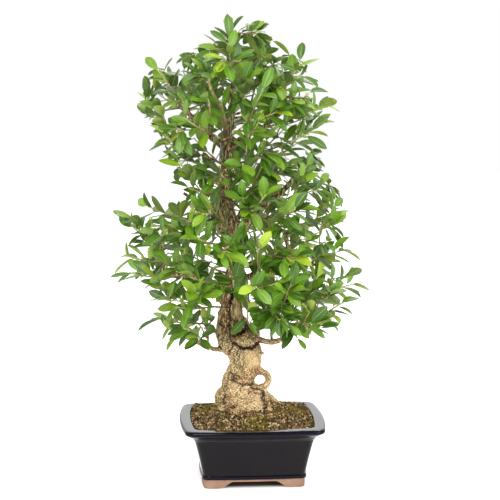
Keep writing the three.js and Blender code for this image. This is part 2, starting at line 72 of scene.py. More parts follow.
print("plain model:", len(frame["nodes"]), "nodes, of which", len(sprays), "sprays")

# %% [markdown]
# The tree is worked out in millimetres about the middle of its pot, because a pot is what a grower
# measures from. One function turns such points into metres in the shared frame.

# %% Millimetres about the pot's middle
MM = 0.001
pot_low, pot_high = (np.array(corner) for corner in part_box("pot"))
pot_middle = (pot_low + pot_high) / 2 * [1, 1, 0]


def placed(points):
    return np.asarray(points, float) * MM + pot_middle


print("pot", np.round((pot_high - pot_low) / MM, 1), "mm, middle at", np.round(pot_middle / MM, 2))

# %% [markdown]
# The photograph was taken with a long lens, from about the height of the tree's top and a little to the
# left, looking slightly down. Such a lens keeps upright lines nearly upright. The camera's place and lens
# come from where the pot's rim corners and feet appear, with the sizes that the plain model gives them.

# %% Camera
CAMERA_AT = (-222.5, -3122.9, 963)
CAMERA_TURN = math.radians(4.01)
CAMERA_DIP = math.radians(8.72)
LENS = 110.5
SENSOR_WIDTH = 36
SEES_TO = 50

camera = bpy.data.objects.new("camera", bpy.data.cameras.new("camera"))
bpy.context.scene.collection.objects.link(camera)
camera.data.lens = LENS
camera.data.sensor_width = SENSOR_WIDTH
camera.data.clip_end = SEES_TO
camera.location = placed(CAMERA_AT)
camera.rotation_euler = (math.radians(90) - CAMERA_DIP, 0, -CAMERA_TURN)
bpy.context.scene.camera = camera
print("camera at", [round(v, 3) for v in camera.location])

# %% [markdown]
# A product photograph of a plant has a white ground and a broad, soft light, so a white floor and a white
# surround do most of the lighting. The floor glows as painted light, but not under the pot, where its colour
# is also darkened as a painted shadow. Two large lamps in front, the left one stronger, model the trunk and
# put a sheen on the leaves, and a third one behind lights the crown from the back. The colours go out as
# they are, without a film curve, so that white stays white.

# %% Floor, surround and lamps
FLOOR_HALF = 6
FLOOR_GLOW = 0.7
FLOOR_PAINTED_SHADOW = 0.2
FLOOR_WHITE = 0.9
UNDER_POT = (0.085, 0.065, 0)
PAINTED_SHADOW_FADE = 0.02
GLOW_FADE = 0.04
SURROUND_LIGHT = 0.72
MIRRORED_LIGHT = 1.08
LAMPS = {
    "key_lamp": {"at": (-800, -2300, 2300), "size": 1.0, "power": 43},
    "fill_lamp": {"at": (1900, -1900, 1500), "size": 1.8, "power": 34},
    "back_lamp": {"at": (500, 1700, 2400), "size": 1.5, "power": 26},
}
AIM = (0, 0, 480)


def node_of(tree, kind, **settings):
    made = tree.nodes.new(kind)
    for name, value in settings.items():
        setattr(made, name, value)
    return made


def new_material(name):
    material = bpy.data.materials.new(name)
    material.use_nodes = True
    return material, material.node_tree, material.node_tree.nodes["Principled BSDF"]


def add_object(name, mesh):
    made = bpy.data.objects.new(name, mesh)
    bpy.context.scene.collection.objects.link(made)
    return made


floor_mesh = bpy.data.meshes.new("floor")
corners = [(-FLOOR_HALF, -FLOOR_HALF, 0), (FLOOR_HALF, -FLOOR_HALF, 0)]
corners += [(FLOOR_HALF, FLOOR_HALF, 0), (-FLOOR_HALF, FLOOR_HALF, 0)]
floor_mesh.from_pydata(corners, [], [(0, 1, 2, 3)])
floor = add_object("floor", floor_mesh)
floor_paint, paint_tree, floor_surface = new_material("white_floor")
floor_surface.inputs["Roughness"].default_value = 0.9
floor_surface.inputs["Emission Color"].default_value = (1, 1, 1, 1)
place = node_of(paint_tree, "ShaderNodeTexCoord").outputs["Object"]
for operation, by in (("SUBTRACT", pot_middle), ("ABSOLUTE", None), ("SUBTRACT", UNDER_POT)):
    step = node_of(paint_tree, "ShaderNodeVectorMath", operation=operation)
    paint_tree.links.new(place, step.inputs[0])
    if by is not None:
        step.inputs[1].default_value = by
    place = step.outputs[0]
parts = node_of(paint_tree, "ShaderNodeSeparateXYZ")
paint_tree.links.new(place, parts.inputs[0])
outside = node_of(paint_tree, "ShaderNodeMath", operation="MAXIMUM")
paint_tree.links.new(parts.outputs["X"], outside.inputs[0])
paint_tree.links.new(parts.outputs["Y"], outside.inputs[1])
# Close under the pot the floor's base colour is darkened as a painted shadow, and its painted glow fades out
# there.
floor_fades = [
    (PAINTED_SHADOW_FADE, FLOOR_PAINTED_SHADOW, FLOOR_WHITE, "Base Color"),
    (GLOW_FADE, 0, FLOOR_GLOW, "Emission Strength"),
]
for fade, low, high, socket in floor_fades:
    spread = node_of(paint_tree, "ShaderNodeMapRange")
    for label, value in (("From Min", 0), ("From Max", fade), ("To Min", low), ("To Max", high)):
        spread.inputs[label].default_value = value
    paint_tree.links.new(outside.outputs[0], spread.inputs["Value"])
    paint_tree.links.new(spread.outputs[0], floor_surface.inputs[socket])
floor.data.materials.append(floor_paint)

world = bpy.data.worlds.new("white_surround")
bpy.context.scene.world = world
world.use_nodes = True
surround = world.node_tree.nodes["Background"]
surround.inputs["Color"].default_value = (1, 1, 1, 1)
path = node_of(world.node_tree, "ShaderNodeLightPath")
brightness = node_of(world.node_tree, "ShaderNodeMapRange")
brightness.inputs["To Min"].default_value = SURROUND_LIGHT
world.node_tree.links.new(path.outputs["Is Camera Ray"], brightness.inputs["Value"])
mirrored = node_of(world.node_tree, "ShaderNodeMath", operation="MULTIPLY_ADD")
mirrored.inputs[1].default_value = MIRRORED_LIGHT - SURROUND_LIGHT
world.node_tree.links.new(path.outputs["Is Glossy Ray"], mirrored.inputs[0])
world.node_tree.links.new(brightness.outputs[0], mirrored.inputs[2])
world.node_tree.links.new(mirrored.outputs[0], surround.inputs["Strength"])

for name, lamp in LAMPS.items():
    light = bpy.data.lights.new(name, "AREA")
    light.shape = "DISK"
    light.size = lamp["size"]
    light.energy = lamp["power"]
    made = bpy.data.objects.new(name, light)
    bpy.context.scene.collection.objects.link(made)
    made.location = placed(lamp["at"])
    made.rotation_euler = Vector(placed(AIM) - placed(lamp["at"])).to_track_quat("-Z", "Y").to_euler()

bpy.context.scene.view_settings.view_transform = "Standard"
print("lamps:", ", ".join(LAMPS))

# %% [markdown]
# Materials are built from a few steps that come back again and again: noise at some scale, a ramp of
# colours, a bump. Each step gets a short helper, so that a finish below reads as a list of what it is made
# of.

# %% Helpers for materials
def srgb(red, green, blue):
    """A colour given as 0 to 255, as a paint program shows it, in the linear values that shaders use."""
    parts = [part / 255 for part in (red, green, blue)]
    linear = [part / 12.92 if part <= 0.04045 else ((part + 0.055) / 1.055) ** 2.4 for part in parts]
    return (*linear, 1)


def object_place(tree, scale=(1, 1, 1)):
    place = node_of(tree, "ShaderNodeTexCoord")
    stretch = node_of(tree, "ShaderNodeMapping")
    stretch.inputs["Scale"].default_value = scale
    tree.links.new(place.outputs["Object"], stretch.inputs["Vector"])
    return stretch.outputs["Vector"]


def noise_at(tree, place, scale, detail=4, roughness=0.55):
    made = node_of(tree, "ShaderNodeTexNoise")
    made.inputs["Scale"].default_value = scale
    made.inputs["Detail"].default_value = detail
    made.inputs["Roughness"].default_value = roughness
    tree.links.new(place, made.inputs["Vector"])
    return made.outputs["Fac"]


def cells_at(tree, place, scale):
    made = node_of(tree, "ShaderNodeTexVoronoi")
    made.inputs["Scale"].default_value = scale
    tree.links.new(place, made.inputs["Vector"])
    return made.outputs["Distance"]


def ramp(tree, value, stops):
    made = node_of(tree, "ShaderNodeValToRGB")
    points = made.color_ramp.elements
    while len(points) < len(stops):
        points.new(0.5)
    for point, (position, color) in zip(points, stops):
        point.position = position
        point.color = color
    tree.links.new(value, made.inputs["Fac"])
    return made.outputs["Color"]


def blend_colors(tree, share, first, second):
    made = node_of(tree, "ShaderNodeMix", data_type="RGBA")
    for socket, value in ((made.inputs[0], share), (made.inputs[6], first), (made.inputs[7], second)):
        if isinstance(value, bpy.types.NodeSocket):
            tree.links.new(value, socket)
        else:
            socket.default_value = value
    return made.outputs[2]


def calculate(tree, operation, *values):
    made = node_of(tree, "ShaderNodeMath", operation=operation)
    for socket, value in zip(made.inputs, values):
        if isinstance(value, bpy.types.NodeSocket):
            tree.links.new(value, socket)
        else:
            socket.default_value = value
    return made.outputs[0]


def limited(tree, value, low, high, to_low=0.0, to_high=1.0):
    made = node_of(tree, "ShaderNodeMapRange")
    for name, number in (("From Min", low), ("From Max", high), ("To Min", to_low), ("To Max", to_high)):
        made.inputs[name].default_value = number
    tree.links.new(value, made.inputs["Value"])
    return made.outputs["Result"]


def bump(tree, height, depth, strength, under=None):
    made = node_of(tree, "ShaderNodeBump")
    made.inputs["Strength"].default_value = strength
    made.inputs["Distance"].default_value = depth
    tree.links.new(height, made.inputs["Height"])
    if under is not None:
        tree.links.new(under, made.inputs["Normal"])
    return made.outputs["Normal"]


def attribute(tree, name):
    return node_of(tree, "ShaderNodeAttribute", attribute_name=name).outputs["Fac"]


# %% [markdown]
# The pot is slip-cast stoneware: one wall that leans outwards to a thick, rounded lip, on four bracket
# feet. It could be bevelled out of a box, but its sides bow outwards, at the rim a little more than at the
# feet. So it is lofted: one outline is carried up a profile whose corners are rounded by small arcs.

# %% Pot profile with rounded corners
RIM_HALF = 140.5
DEPTH_LESS = 20
FOOT_BOW = 0.045
RIM_BOW = 0.08
CORNER_RADIUS = 14
POT_HEIGHT = 130
RIM_WIDTH = 19
FLOOR_TOP = 27
FLOOR_UNDERSIDE = 17
FOOT_HEIGHT = 19
FOOT_HALF = 103
FOOT_THICKNESS = 15
ARC_STEPS = 4
MOST_OF_SIDE = 0.48


def towards(here, other, radius):
    """The place on the way from a corner to the next where its rounding starts."""
    way = np.array(other[:2]) - here
    far = np.linalg.norm(way)
    return here + way / far * min(radius, far * MOST_OF_SIDE)


def rounded(points):
    """A profile of (across, up, radius) corners, with each corner replaced by a small curve."""
    made = []
    for k, (across, up, radius) in enumerate(points):
        here = np.array([across, up], float)
        if radius == 0:
            made.append(here)
            continue
        start, end = towards(here, points[k - 1], radius), towards(here, points[k + 1], radius)
        for share in np.linspace(0, 1, ARC_STEPS + 1):
            made.append((1 - share) ** 2 * start + 2 * share * (1 - share) * here + share ** 2 * end)
    return np.array(made)


POT_OUTSIDE = [
    (FOOT_HALF - 3, 0, 0),
    (FOOT_HALF, 0, 1.6),
    (FOOT_HALF + 1, FOOT_HEIGHT, 0.4),
    (FOOT_HALF + 3.4, FOOT_HEIGHT + 0.6, 0.8),
    (FOOT_HALF + 3.5, 26, 1.4),
    (FOOT_HALF + 1.3, 27.6, 1.0),
    (111, 62, 8),
    (118.3, 95, 8),
    (121.2, 104, 2.0),
    (122.8, 105.5, 1.2),
    (127, 111.5, 6),
    (134.5, 116.5, 5),
    (RIM_HALF, 121, 3),
    (RIM_HALF, 127, 3),
    (RIM_HALF - 3.5, POT_HEIGHT, 3),
    (RIM_HALF - RIM_WIDTH - 0.4, POT_HEIGHT, 1.6),
    (119, POT_HEIGHT - 12, 6),
    (96, FLOOR_TOP, 4),
    (90, FLOOR_TOP, 0),
]
profile = rounded(POT_OUTSIDE)
print("pot profile:", len(profile), "levels")

# %% Pot outline and loft
OUTLINE_STEP = 7
CORNER_POINTS = 7


def pot_outline():
    """Points round the rim, with the corners as arcs, at a half width of RIM_HALF."""
    half_x, half_y = RIM_HALF, RIM_HALF - DEPTH_LESS
    in_x, in_y = half_x - CORNER_RADIUS, half_y - CORNER_RADIUS
    points = []
    for turn, (cx, cy) in enumerate([(in_x, -in_y), (in_x, in_y), (-in_x, in_y), (-in_x, -in_y)]):
        for share in np.linspace(0, 1, CORNER_POINTS):
            angle = math.radians(90) * (turn - 1 + share)
            points.append((cx + CORNER_RADIUS * math.cos(angle), cy + CORNER_RADIUS * math.sin(angle)))
        straight = 2 * (in_y if turn % 2 == 0 else in_x)
        steps = round(straight / OUTLINE_STEP)
        angle = math.radians(90) * turn
        start = points[-1]
        for k in range(1, steps):
            far = straight * k / steps
            points.append((start[0] - math.sin(angle) * far, start[1] + math.cos(angle) * far))
    return np.array(points)


def pot_level(outline, half, height):
    across = outline[:, 0] / RIM_HALF
    deep = outline[:, 1] / (RIM_HALF - DEPTH_LESS)
    bow = np.interp(half, [FOOT_HALF, RIM_HALF], [FOOT_BOW, RIM_BOW])
    x = across * half * (1 + bow * (1 - deep ** 2))
    y = deep * (half - DEPTH_LESS) * (1 + bow * (1 - across ** 2))
    return np.column_stack([x, y, np.full(len(x), height)])


def mesh_of(name, points, faces, smooth=True):
    mesh = bpy.data.meshes.new(name)
    mesh.from_pydata([tuple(point) for point in points], [], [tuple(face) for face in faces])
    mesh.validate()
    if smooth:
        mesh.shade_smooth()
    return mesh


def ring_faces(rings, around):
    """The faces between rings of points that follow each other."""
    faces = []
    for row in range(rings - 1):
        low, high = row * around, (row + 1) * around
        for k in range(around):
            after = (k + 1) % around
            faces.append((low + k, low + after, high + after, high + k))
    return faces


def closed_rings(rings, around):
    """The same, with the first and the last ring filled in."""
    ends = [tuple(reversed(range(around))), tuple(range((rings - 1) * around, rings * around))]
    return ring_faces(rings, around) + ends


def pot_loft(name, levels):
    outline = pot_outline()
    points = np.vstack([pot_level(outline, half, height) for half, height in levels])
    return mesh_of(name, placed(points), closed_rings(len(levels), len(outline)))


print("pot outline:", len(pot_outline()), "points")

# %% [markdown]
# The feet are what is left after a bracket-shaped arch is cut through the pot's skirt each way, and the
# underside is hollowed between them. Each cut is a closed solid, taken away by a Boolean modifier whose
# result is kept as a plain mesh.

# %% Cuts for the feet and the drain holes
ARCH_HEIGHT = 15
FRONT_ARCH_HALF = 73
SIDE_ARCH_HALF = 50
BELOW = -5
ARCH_HALF_LENGTH = 160
DRAIN_RADIUS = 11
DRAIN_OFFSET = 48
DRAIN_SIDES = 40
DRAIN_OVERSHOOT = 12
BRACKET = [(0, BELOW, 0), (0, 0.6, 0.4), (9, 3.5, 5), (18, 9, 5), (26, ARCH_HEIGHT, 5)]


def outward(mesh):
    """The mesh with all its faces turned to the outside."""
    work = bmesh.new()
    work.from_mesh(mesh)
    bmesh.ops.recalc_face_normals(work, faces=work.faces)
    work.to_mesh(mesh)
    work.free()
    return mesh


def closed_cut(name, points):
    """A closed solid between two rings of points, given one after the other."""
    return add_object(name, outward(mesh_of(name, placed(points), closed_rings(2, len(points) // 2))))


def arch_cut(name, half_span, turned):
    edge = [(half_span - inside, up, radius) for inside, up, radius in BRACKET]
    right = rounded(edge + [(0, ARCH_HEIGHT, 0)])
    left = right[-2::-1] * [-1, 1]
    ends = []
    for far in (-ARCH_HALF_LENGTH, ARCH_HALF_LENGTH):
        for across, up in np.vstack([right, left]):
            ends.append((far, across, up) if turned else (across, far, up))
    return closed_cut(name, ends)


def drain_cut(name, side):
    angles = np.linspace(0, 2 * math.pi, DRAIN_SIDES, endpoint=False)
    across, deep = side * DRAIN_OFFSET + DRAIN_RADIUS * np.cos(angles), DRAIN_RADIUS * np.sin(angles)
    heights = (FLOOR_UNDERSIDE - DRAIN_OVERSHOOT, FLOOR_TOP + DRAIN_OVERSHOOT)
    return closed_cut(name, [(x, y, z) for z in heights for x, y in zip(across, deep)])


def flattened(made, name):
    """The object's finished mesh, with its modifiers carried out, in a new object."""
    scene = bpy.context.evaluated_depsgraph_get()
    mesh = bpy.data.meshes.new_from_object(made.evaluated_get(scene))
    mesh.name = name
    bpy.data.objects.remove(made)
    return add_object(name, mesh)


def triangles(made):
    return sum(len(face.vertices) - 2 for face in made.data.polygons)


# %% Pot, cut and finished
SHARP_FROM = math.radians(38)

inner_half = FOOT_HALF - FOOT_THICKNESS
underside = rounded([
    (inner_half, BELOW, 0), (inner_half + 1, FLOOR_UNDERSIDE, 2.5), (inner_half - 20, FLOOR_UNDERSIDE, 0)])
pot = add_object("pot_draft", outward(pot_loft("pot_draft", profile)))
cuts = [add_object("underside_cut", outward(pot_loft("underside_cut", underside)))]
cuts += [arch_cut("front_arch_cut", FRONT_ARCH_HALF, False), arch_cut("side_arch_cut", SIDE_ARCH_HALF, True)]
cuts += [drain_cut("left_drain_cut", -1), drain_cut("right_drain_cut", 1)]
for cut in cuts:
    boolean = pot.modifiers.new(cut.name, "BOOLEAN")
    boolean.operation = "DIFFERENCE"
    boolean.solver = "EXACT"
    boolean.object = cut
pot = flattened(pot, "pot_glazed")
for cut in cuts:
    bpy.data.objects.remove(cut)
pot.data.shade_smooth()
pot.data.set_sharp_from_angle(angle=SHARP_FROM)
print("pot:", triangles(pot), "triangles")

# %% [markdown]
# A dark glaze is nearly black in itself and gets its look from what it mirrors. Here it is nearly black on
# the walls, and deep navy on the lip and the belt. Its surface is smooth, with a slight orange-peel
# ripple, and the flat of the rim has a clear coat, because it mirrors the bright room. The potter wipes
# the feet clean before firing, so below one level the same pot is bare pinkish clay. Both finishes are
# shaders of one material, chosen by height.

# %% Pot finish
GLAZE_LINE = FOOT_HEIGHT * MM + 0.0004
LIP_HEIGHTS = (0.1145, 0.118)
BELT_HEIGHTS = (0.0275, 0.0265)
RIM_FLAT_HEIGHTS = (0.1285, 0.1297)


def pot_material():
    material, tree, surface = new_material("navy_glaze_over_bare_clay")
    place = object_place(tree)
    height = node_of(tree, "ShaderNodeSeparateXYZ")
    tree.links.new(place, height.inputs[0])
    wander = noise_at(tree, place, 60)
    edge = calculate(tree, "ADD", height.outputs["Z"], calculate(tree, "MULTIPLY", wander, 0.0012))
    glazed = limited(tree, edge, GLAZE_LINE + 0.0004, GLAZE_LINE + 0.0008)
    cloud = noise_at(tree, place, 9, detail=3)
    glaze = ramp(tree, cloud, [(0.3, srgb(11, 7, 13)), (0.62, srgb(17, 12, 16))])
    lip = limited(tree, height.outputs["Z"], *LIP_HEIGHTS)
    belt = limited(tree, height.outputs["Z"], *BELT_HEIGHTS)
    navy = calculate(tree, "MAXIMUM", lip, belt)
    glaze = blend_colors(tree, navy, glaze, srgb(1, 0, 16))
    flat = limited(tree, height.outputs["Z"], *RIM_FLAT_HEIGHTS)
    grain = noise_at(tree, place, 420, detail=3)
    stain = noise_at(tree, place, 35, detail=5)
    clay = ramp(tree, stain, [
        (0.3, srgb(140, 109, 90)), (0.55, srgb(158, 127, 107)), (0.8, srgb(174, 143, 123))])
    clay = blend_colors(tree, calculate(tree, "MULTIPLY", grain, 0.35), clay, srgb(150, 110, 88))
    tree.links.new(blend_colors(tree, glazed, clay, glaze), surface.inputs["Base Color"])
    tree.links.new(limited(tree, glazed, 0, 1, 0.85, 0.09), surface.inputs["Roughness"])
    surface.inputs["Specular IOR Level"].default_value = 0.16
    tree.links.new(flat, surface.inputs["Coat Weight"])
    ripple = bump(tree, noise_at(tree, place, 75, detail=2), 0.0006, 0.12)
    tree.links.new(bump(tree, grain, 0.0004, 0.25, ripple), surface.inputs["Normal"])
    return material


pot.data.materials.append(pot_material())
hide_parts("pot")
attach(pot, "root")
print("pot material:", pot.data.materials[0].name)

# %% [markdown]
# A tree grows by a rule: the trunk and limbs follow curves through a few points, each shoot sits on the
# crown's outline, and a branch reaches it from the nearest fit wood. The plain model grew by the same
# rule, so the same curves and the same seeded draws are worked out here again, and the fine pieces land on
# the plain ones.

# %% Curves and seeded draws
UP = np.array([0.0, 0.0, 1.0])
RIGHT = np.array([1.0, 0.0, 0.0])
SEED = 20117


def chance(*keys):
    """A number from 0 to 1 that depends only on the seed and the whole-number keys."""
    bits = SEED
    for key in keys:
        bits = ((bits ^ (key + 1)) * 2654435761) & 0xFFFFFFFF
        bits ^= bits >> 15
    bits = (bits * 2246822519) & 0xFFFFFFFF
    return (bits ^ (bits >> 13)) / 2 ** 32


def mixed(low, high, share):
    return low + (high - low) * share


def unit(arrow):
    return arrow / np.linalg.norm(arrow)


def smooth_route(points):
    """A function from a share of the way, 0 to 1, to the place there on a smooth curve through the points."""
    knots = np.array(points, float)
    knots = np.vstack([2 * knots[0] - knots[1], knots, 2 * knots[-1] - knots[-2]])
    last = len(points) - 1

    def place(share):
        far = min(max(share, 0), 1) * last
        k = min(int(far), last - 1)
        t = far - k
        before, start, end, after = knots[k:k + 4]
        first, second = (end - before) / 2, (after - start) / 2
        bend = 3 * (end - start) - 2 * first - second
        return start + first * t + bend * t ** 2 + (2 * (start - end) + first + second) * t ** 3

    return place


def pulled_route(*pulls):
    """The same for a Bezier curve, given by its start, the points that pull it, and its end."""
    def place(share):
        points = np.array(pulls, float)
        while len(points) > 1:
            points = points[:-1] + (points[1:] - points[:-1]) * share
        return points[0]

    return place


def heading(route, share):
    return unit(route(min(share + 0.0001, 1)) - route(max(share - 0.0001, 0)))


def length_of(route, steps=200):
    places = np.array([route(k / steps) for k in range(steps + 1)])
    return np.linalg.norm(np.diff(places, axis=0), axis=1).sum()


def crossways(along, guide=None):
    """The direction square to a curve that lies nearest to a guide."""
    if guide is None:
        guide = RIGHT if abs(along[2]) > 0.9 else UP
    return unit(guide - along * guide.dot(along))


# %% Trunk, limbs, roots and crown outline
TRUNK = np.array([
    [-12, 0, 96, 38], [-16, 0, 132, 44], [-20, -1, 160, 42], [-27, -2, 188, 33], [-28, -2, 212, 26.5],
    [-16, -1, 236, 33], [-13, 0, 258, 33.5], [-20, 1, 278, 36], [-32, 2, 298, 41], [-40, 3, 322, 34],
    [-44, 4, 345, 27], [-42, 4, 364, 22.5], [-41, 4, 392, 21], [-37, 0, 424, 19.5], [-33, -5, 472, 18.5],
    [-39, -7, 520, 19.5], [-55, -4, 560, 20], [-55, 2, 602, 15.5], [-52, 6, 642, 12.5], [-51, 7, 682, 12],
    [-51, 5, 712, 11], [-45, 1, 750, 7.5], [-41, -2, 788, 5.5], [-39, -2, 828, 3.6],
])
LIMBS = [
    ((7, 3.2), [(-50, -4, 276), (-84, -12, 279), (-112, -18, 292), (-146, -26, 310)]),
    ((8, 3.6), [(0, -4, 298), (45, -12, 291), (84, -20, 311), (126, -24, 336)]),
    ((8, 3.6), [(-12, 14, 306), (38, 52, 330), (80, 88, 366)]),
    ((8, 3.6), [(-46, 10, 356), (-84, 56, 394), (-122, 86, 438)]),
    ((8, 3.4), [(-40, 0, 396), (-96, -12, 424), (-152, -22, 436), (-188, -26, 452)]),
    ((8, 3.6), [(-36, 0, 416), (18, -16, 436), (78, -26, 440), (128, -30, 462)]),
    ((7, 3.2), [(-35, -6, 452), (-30, -52, 462), (-22, -98, 486)]),
    ((13, 4), [(-38, -6, 524), (-6, -6, 546), (28, -8, 580), (64, -8, 606), (96, -4, 646)]),
    ((7, 3.2), [(-55, -2, 566), (-98, 12, 576), (-140, 20, 600)]),
    ((8, 3.4), [(-48, 0, 500), (-30, 56, 530), (-8, 98, 572)]),
    ((7, 3.2), [(-54, -2, 596), (-62, -48, 620), (-58, -88, 660)]),
    ((9.5, 3.4), [(-51, 6, 694), (-88, 2, 722), (-126, -4, 762), (-148, -8, 802)]),
    ((9.5, 3.4), [(-51, 6, 690), (-14, -2, 716), (26, -8, 740), (72, -10, 776)]),
    ((7, 3.2), [(-50, 4, 706), (-38, 48, 742), (-28, 84, 790)]),
]
CROWN = np.array([
    [275, -165, 125], [310, -200, 175], [350, -215, 205], [390, -236, 222], [430, -290, 218],
    [470, -268, 228], [520, -252, 208], [565, -235, 195], [600, -168, 182], [640, -165, 152],
    [690, -190, 150], [740, -218, 158], [790, -230, 165], [840, -215, 132], [880, -152, 106],
    [920, -98, 52], [950, -58, -12],
])
CROWN_DEPTH = 0.86
GOLDEN_ANGLE = math.radians(137.508)
trunk_route = smooth_route(TRUNK[:, :3])
print("trunk:", round(length_of(trunk_route)), "mm long,", len(LIMBS), "limbs")

# %% Where the shoots sit
OUTER_BAND = {"count": 34, "low": 298, "high": 905, "share": 1, "turn": 0.6, "climb": 0}
INNER_BAND = {"count": 20, "low": 345, "high": 880, "share": 0.62, "turn": 3.7, "climb": 0.5}
STEM_LENGTH = 88
STEM_RISE = 0.12
LEAF_REACH = 12
GAP = 0.3
WOOD_ROOM = 8
TRUNK_PLACES = 60
LIMB_PLACES = 12


def crown_at(height):
    return np.interp(height, CROWN[:, 0], CROWN[:, 1]), np.interp(height, CROWN[:, 0], CROWN[:, 2])


def band_seats(count, low, high, share, turn, climb):
    seats = []
    for index in range(count):
        up = (index + 0.5) / count
        height = mixed(low, high, up)
        angle = index * GOLDEN_ANGLE + turn
        left, right = crown_at(height)
        half = max((right - left) / 2 - LEAF_REACH, LEAF_REACH) * share
        lift = climb + mixed(-0.05, 0.4, up) + max(0, up - 0.8) * 7
        outward = unit(np.array([math.cos(angle), math.sin(angle) * CROWN_DEPTH, lift]))
        x = (left + right) / 2 + half * math.cos(angle)
        tip = np.array([x, half * CROWN_DEPTH * math.sin(angle), height])
        seats.append((tip - outward * STEM_LENGTH, outward))
    return seats


def shoot_route(at, outward):
    start = at + outward * GAP
    return pulled_route(start, start + outward * STEM_LENGTH * 0.5,
                        start + outward * STEM_LENGTH + UP * STEM_LENGTH * STEM_RISE)


def thick_wood():
    """Places along the trunk and the limbs, each with the radius there."""
    places = [(*trunk_route(share), TRUNK[int(share * (len(TRUNK) - 1)), 3])
              for share in np.arange(TRUNK_PLACES + 1) / TRUNK_PLACES]
    shares = np.arange(LIMB_PLACES + 1) / LIMB_PLACES
    for radii, points in LIMBS:
        route = smooth_route(points)
        places += [(*route(share), mixed(*radii, share)) for share in shares]
    return np.array(places)


def is_clear(seat):
    """Whether a shoot's stem stays out of the trunk and the limbs."""
    stem = shoot_route(*seat)
    marks = np.array([stem(share) for share in (0.2, 0.4, 0.6, 0.8, 1)])
    gaps = np.linalg.norm(thick[:, None, :3] - marks, axis=2)
    return bool((gaps > thick[:, 3:] + WOOD_ROOM).all())


thick = thick_wood()
seats = [seat for seat in band_seats(**OUTER_BAND) + band_seats(**INNER_BAND) if is_clear(seat)]
seats.append((TRUNK[-1, :3] + UP * 8, unit(np.array([-0.08, 0, 1]))))
stems = [shoot_route(*seat) for seat in seats]
print("shoots:", len(stems), "each", round(length_of(stems[0]), 1), "mm long")

# %% Limbs and branches
STEM_RADIUS = 1.9
FIRST_FORK = 350
BRANCH_STEPS = 3
MIDDLE_X = -40
TRUNK_FORKS = 40
LIMB_FORKS = 10
FIRST_LIMB_FORK = 3
THICKEST_FORK = 16
FORK_SHARE = 0.85
BRANCH_BASE = 2
BRANCH_GAIN = 0.016
BRANCH_PULL = 0.35
BRANCH_SAG = 0.08
DOWN_SLACK = 12
IN_SLACK = 10
DETOUR_COST = 2


def tapered(start, end, power=1.0):
    return lambda share: mixed(start, end, share ** power)


def reach(at):
    """How far a place lies from the trunk's middle line."""
    return math.hypot(at[0] - MIDDLE_X, at[1])


def branch_route(start, seat_at, outward):
    far = np.linalg.norm(start - seat_at)
    leave = unit(seat_at - start)
    leaving = start + leave * far * BRANCH_PULL - UP * far * BRANCH_SAG
    return pulled_route(start, leaving, seat_at - outward * far * BRANCH_PULL, seat_at)


def grow_wood():
    """Every limb and branch as its curve and its radius along it, the limbs first."""
    wood = [(smooth_route(points), tapered(*radii, 0.8)) for radii, points in LIMBS]
    anchors = []
    for k in range(TRUNK_FORKS + 1):
        at = trunk_route(k / TRUNK_FORKS)
        if at[2] > FIRST_FORK:
            up = (at[2] - FIRST_FORK) / (TRUNK[-1, 2] - FIRST_FORK)
            anchors.append((at, mixed(THICKEST_FORK, TRUNK[-1, 3], up)))
    for route, radius_at in wood:
        shares = [k / LIMB_FORKS for k in range(FIRST_LIMB_FORK, LIMB_FORKS + 1)]
        anchors += [(route(share), radius_at(share)) for share in shares]
    for seat_at, outward in sorted(seats, key=lambda seat: reach(seat[0])):
        def cost(anchor):
            downward = max(0, anchor[0][2] - seat_at[2] + DOWN_SLACK)
            inward = max(0, reach(anchor[0]) - reach(seat_at) + IN_SLACK)
            return np.linalg.norm(anchor[0] - seat_at) + DETOUR_COST * downward + DETOUR_COST * inward

        start, fork_radius = min(anchors, key=cost)
        base = min(fork_radius * FORK_SHARE, BRANCH_BASE + np.linalg.norm(start - seat_at) * BRANCH_GAIN)
        route, radius_at = branch_route(start, seat_at, outward), tapered(base, min(base, STEM_RADIUS + 0.3))
        wood.append((route, radius_at))
        anchors += [(route(k / BRANCH_STEPS), radius_at(k / BRANCH_STEPS)) for k in range(1, BRANCH_STEPS)]
    return wood


wood = grow_wood()
print("wood:", len(LIMBS), "limbs and", len(wood) - len(LIMBS), "branches")

# %% [markdown]
# The trunk of an old fig is many roots and stems grown into one: bulges, a loop that has closed on itself,
# and deep creases where the pieces meet. It could be sculpted by hand. Here each root, strand and bulge is
# a simple closed form, and a voxel remesh melts them into one skin, which leaves the creases where the
# real ones are.

# %% Forms that make up the trunk
ROOT_DIVE = 140
SOIL_EDGE = 127
SOIL_MOUND = 28
MOUND_MIDDLE = (-4, 6)
MOUND_REACH = (122, 106)
ROOTS = [(31, 107, 11, 36), (-48, 62, 6, 32), (-112, 56, 15, 6), (168, 54, 15, 20), (112, 60, 14, 16),
         (60, 60, 12, 22)]
SWELLINGS = [
    ((-17, -8, 162), (45, 38, 33)), ((-58, 6, 168), (20.5, 22, 26)), ((-22, -14, 208), (23.5, 24, 17)),
    ((-15, -25, 301), (28, 26, 17)), ((2, -17, 252), (15, 15, 18)), ((0, -8, 309), (17, 16, 15)),
    ((-62, -14, 150), (11, 12, 14)), ((-34, -30, 148), (15, 16, 17)), ((8, -26, 150), (17, 16, 16)),
    ((-60, 8, 312), (16, 16, 26)), ((20, -9, 267), (5, 5, 3.5)), ((24, 6, 172), (12, 12, 18)),
    ((-66, -2, 576), (18, 14, 34)),
]
RING = {"at": (15.2, -12, 212), "half": (19.2, 0, 16.8), "radius": 6.9}
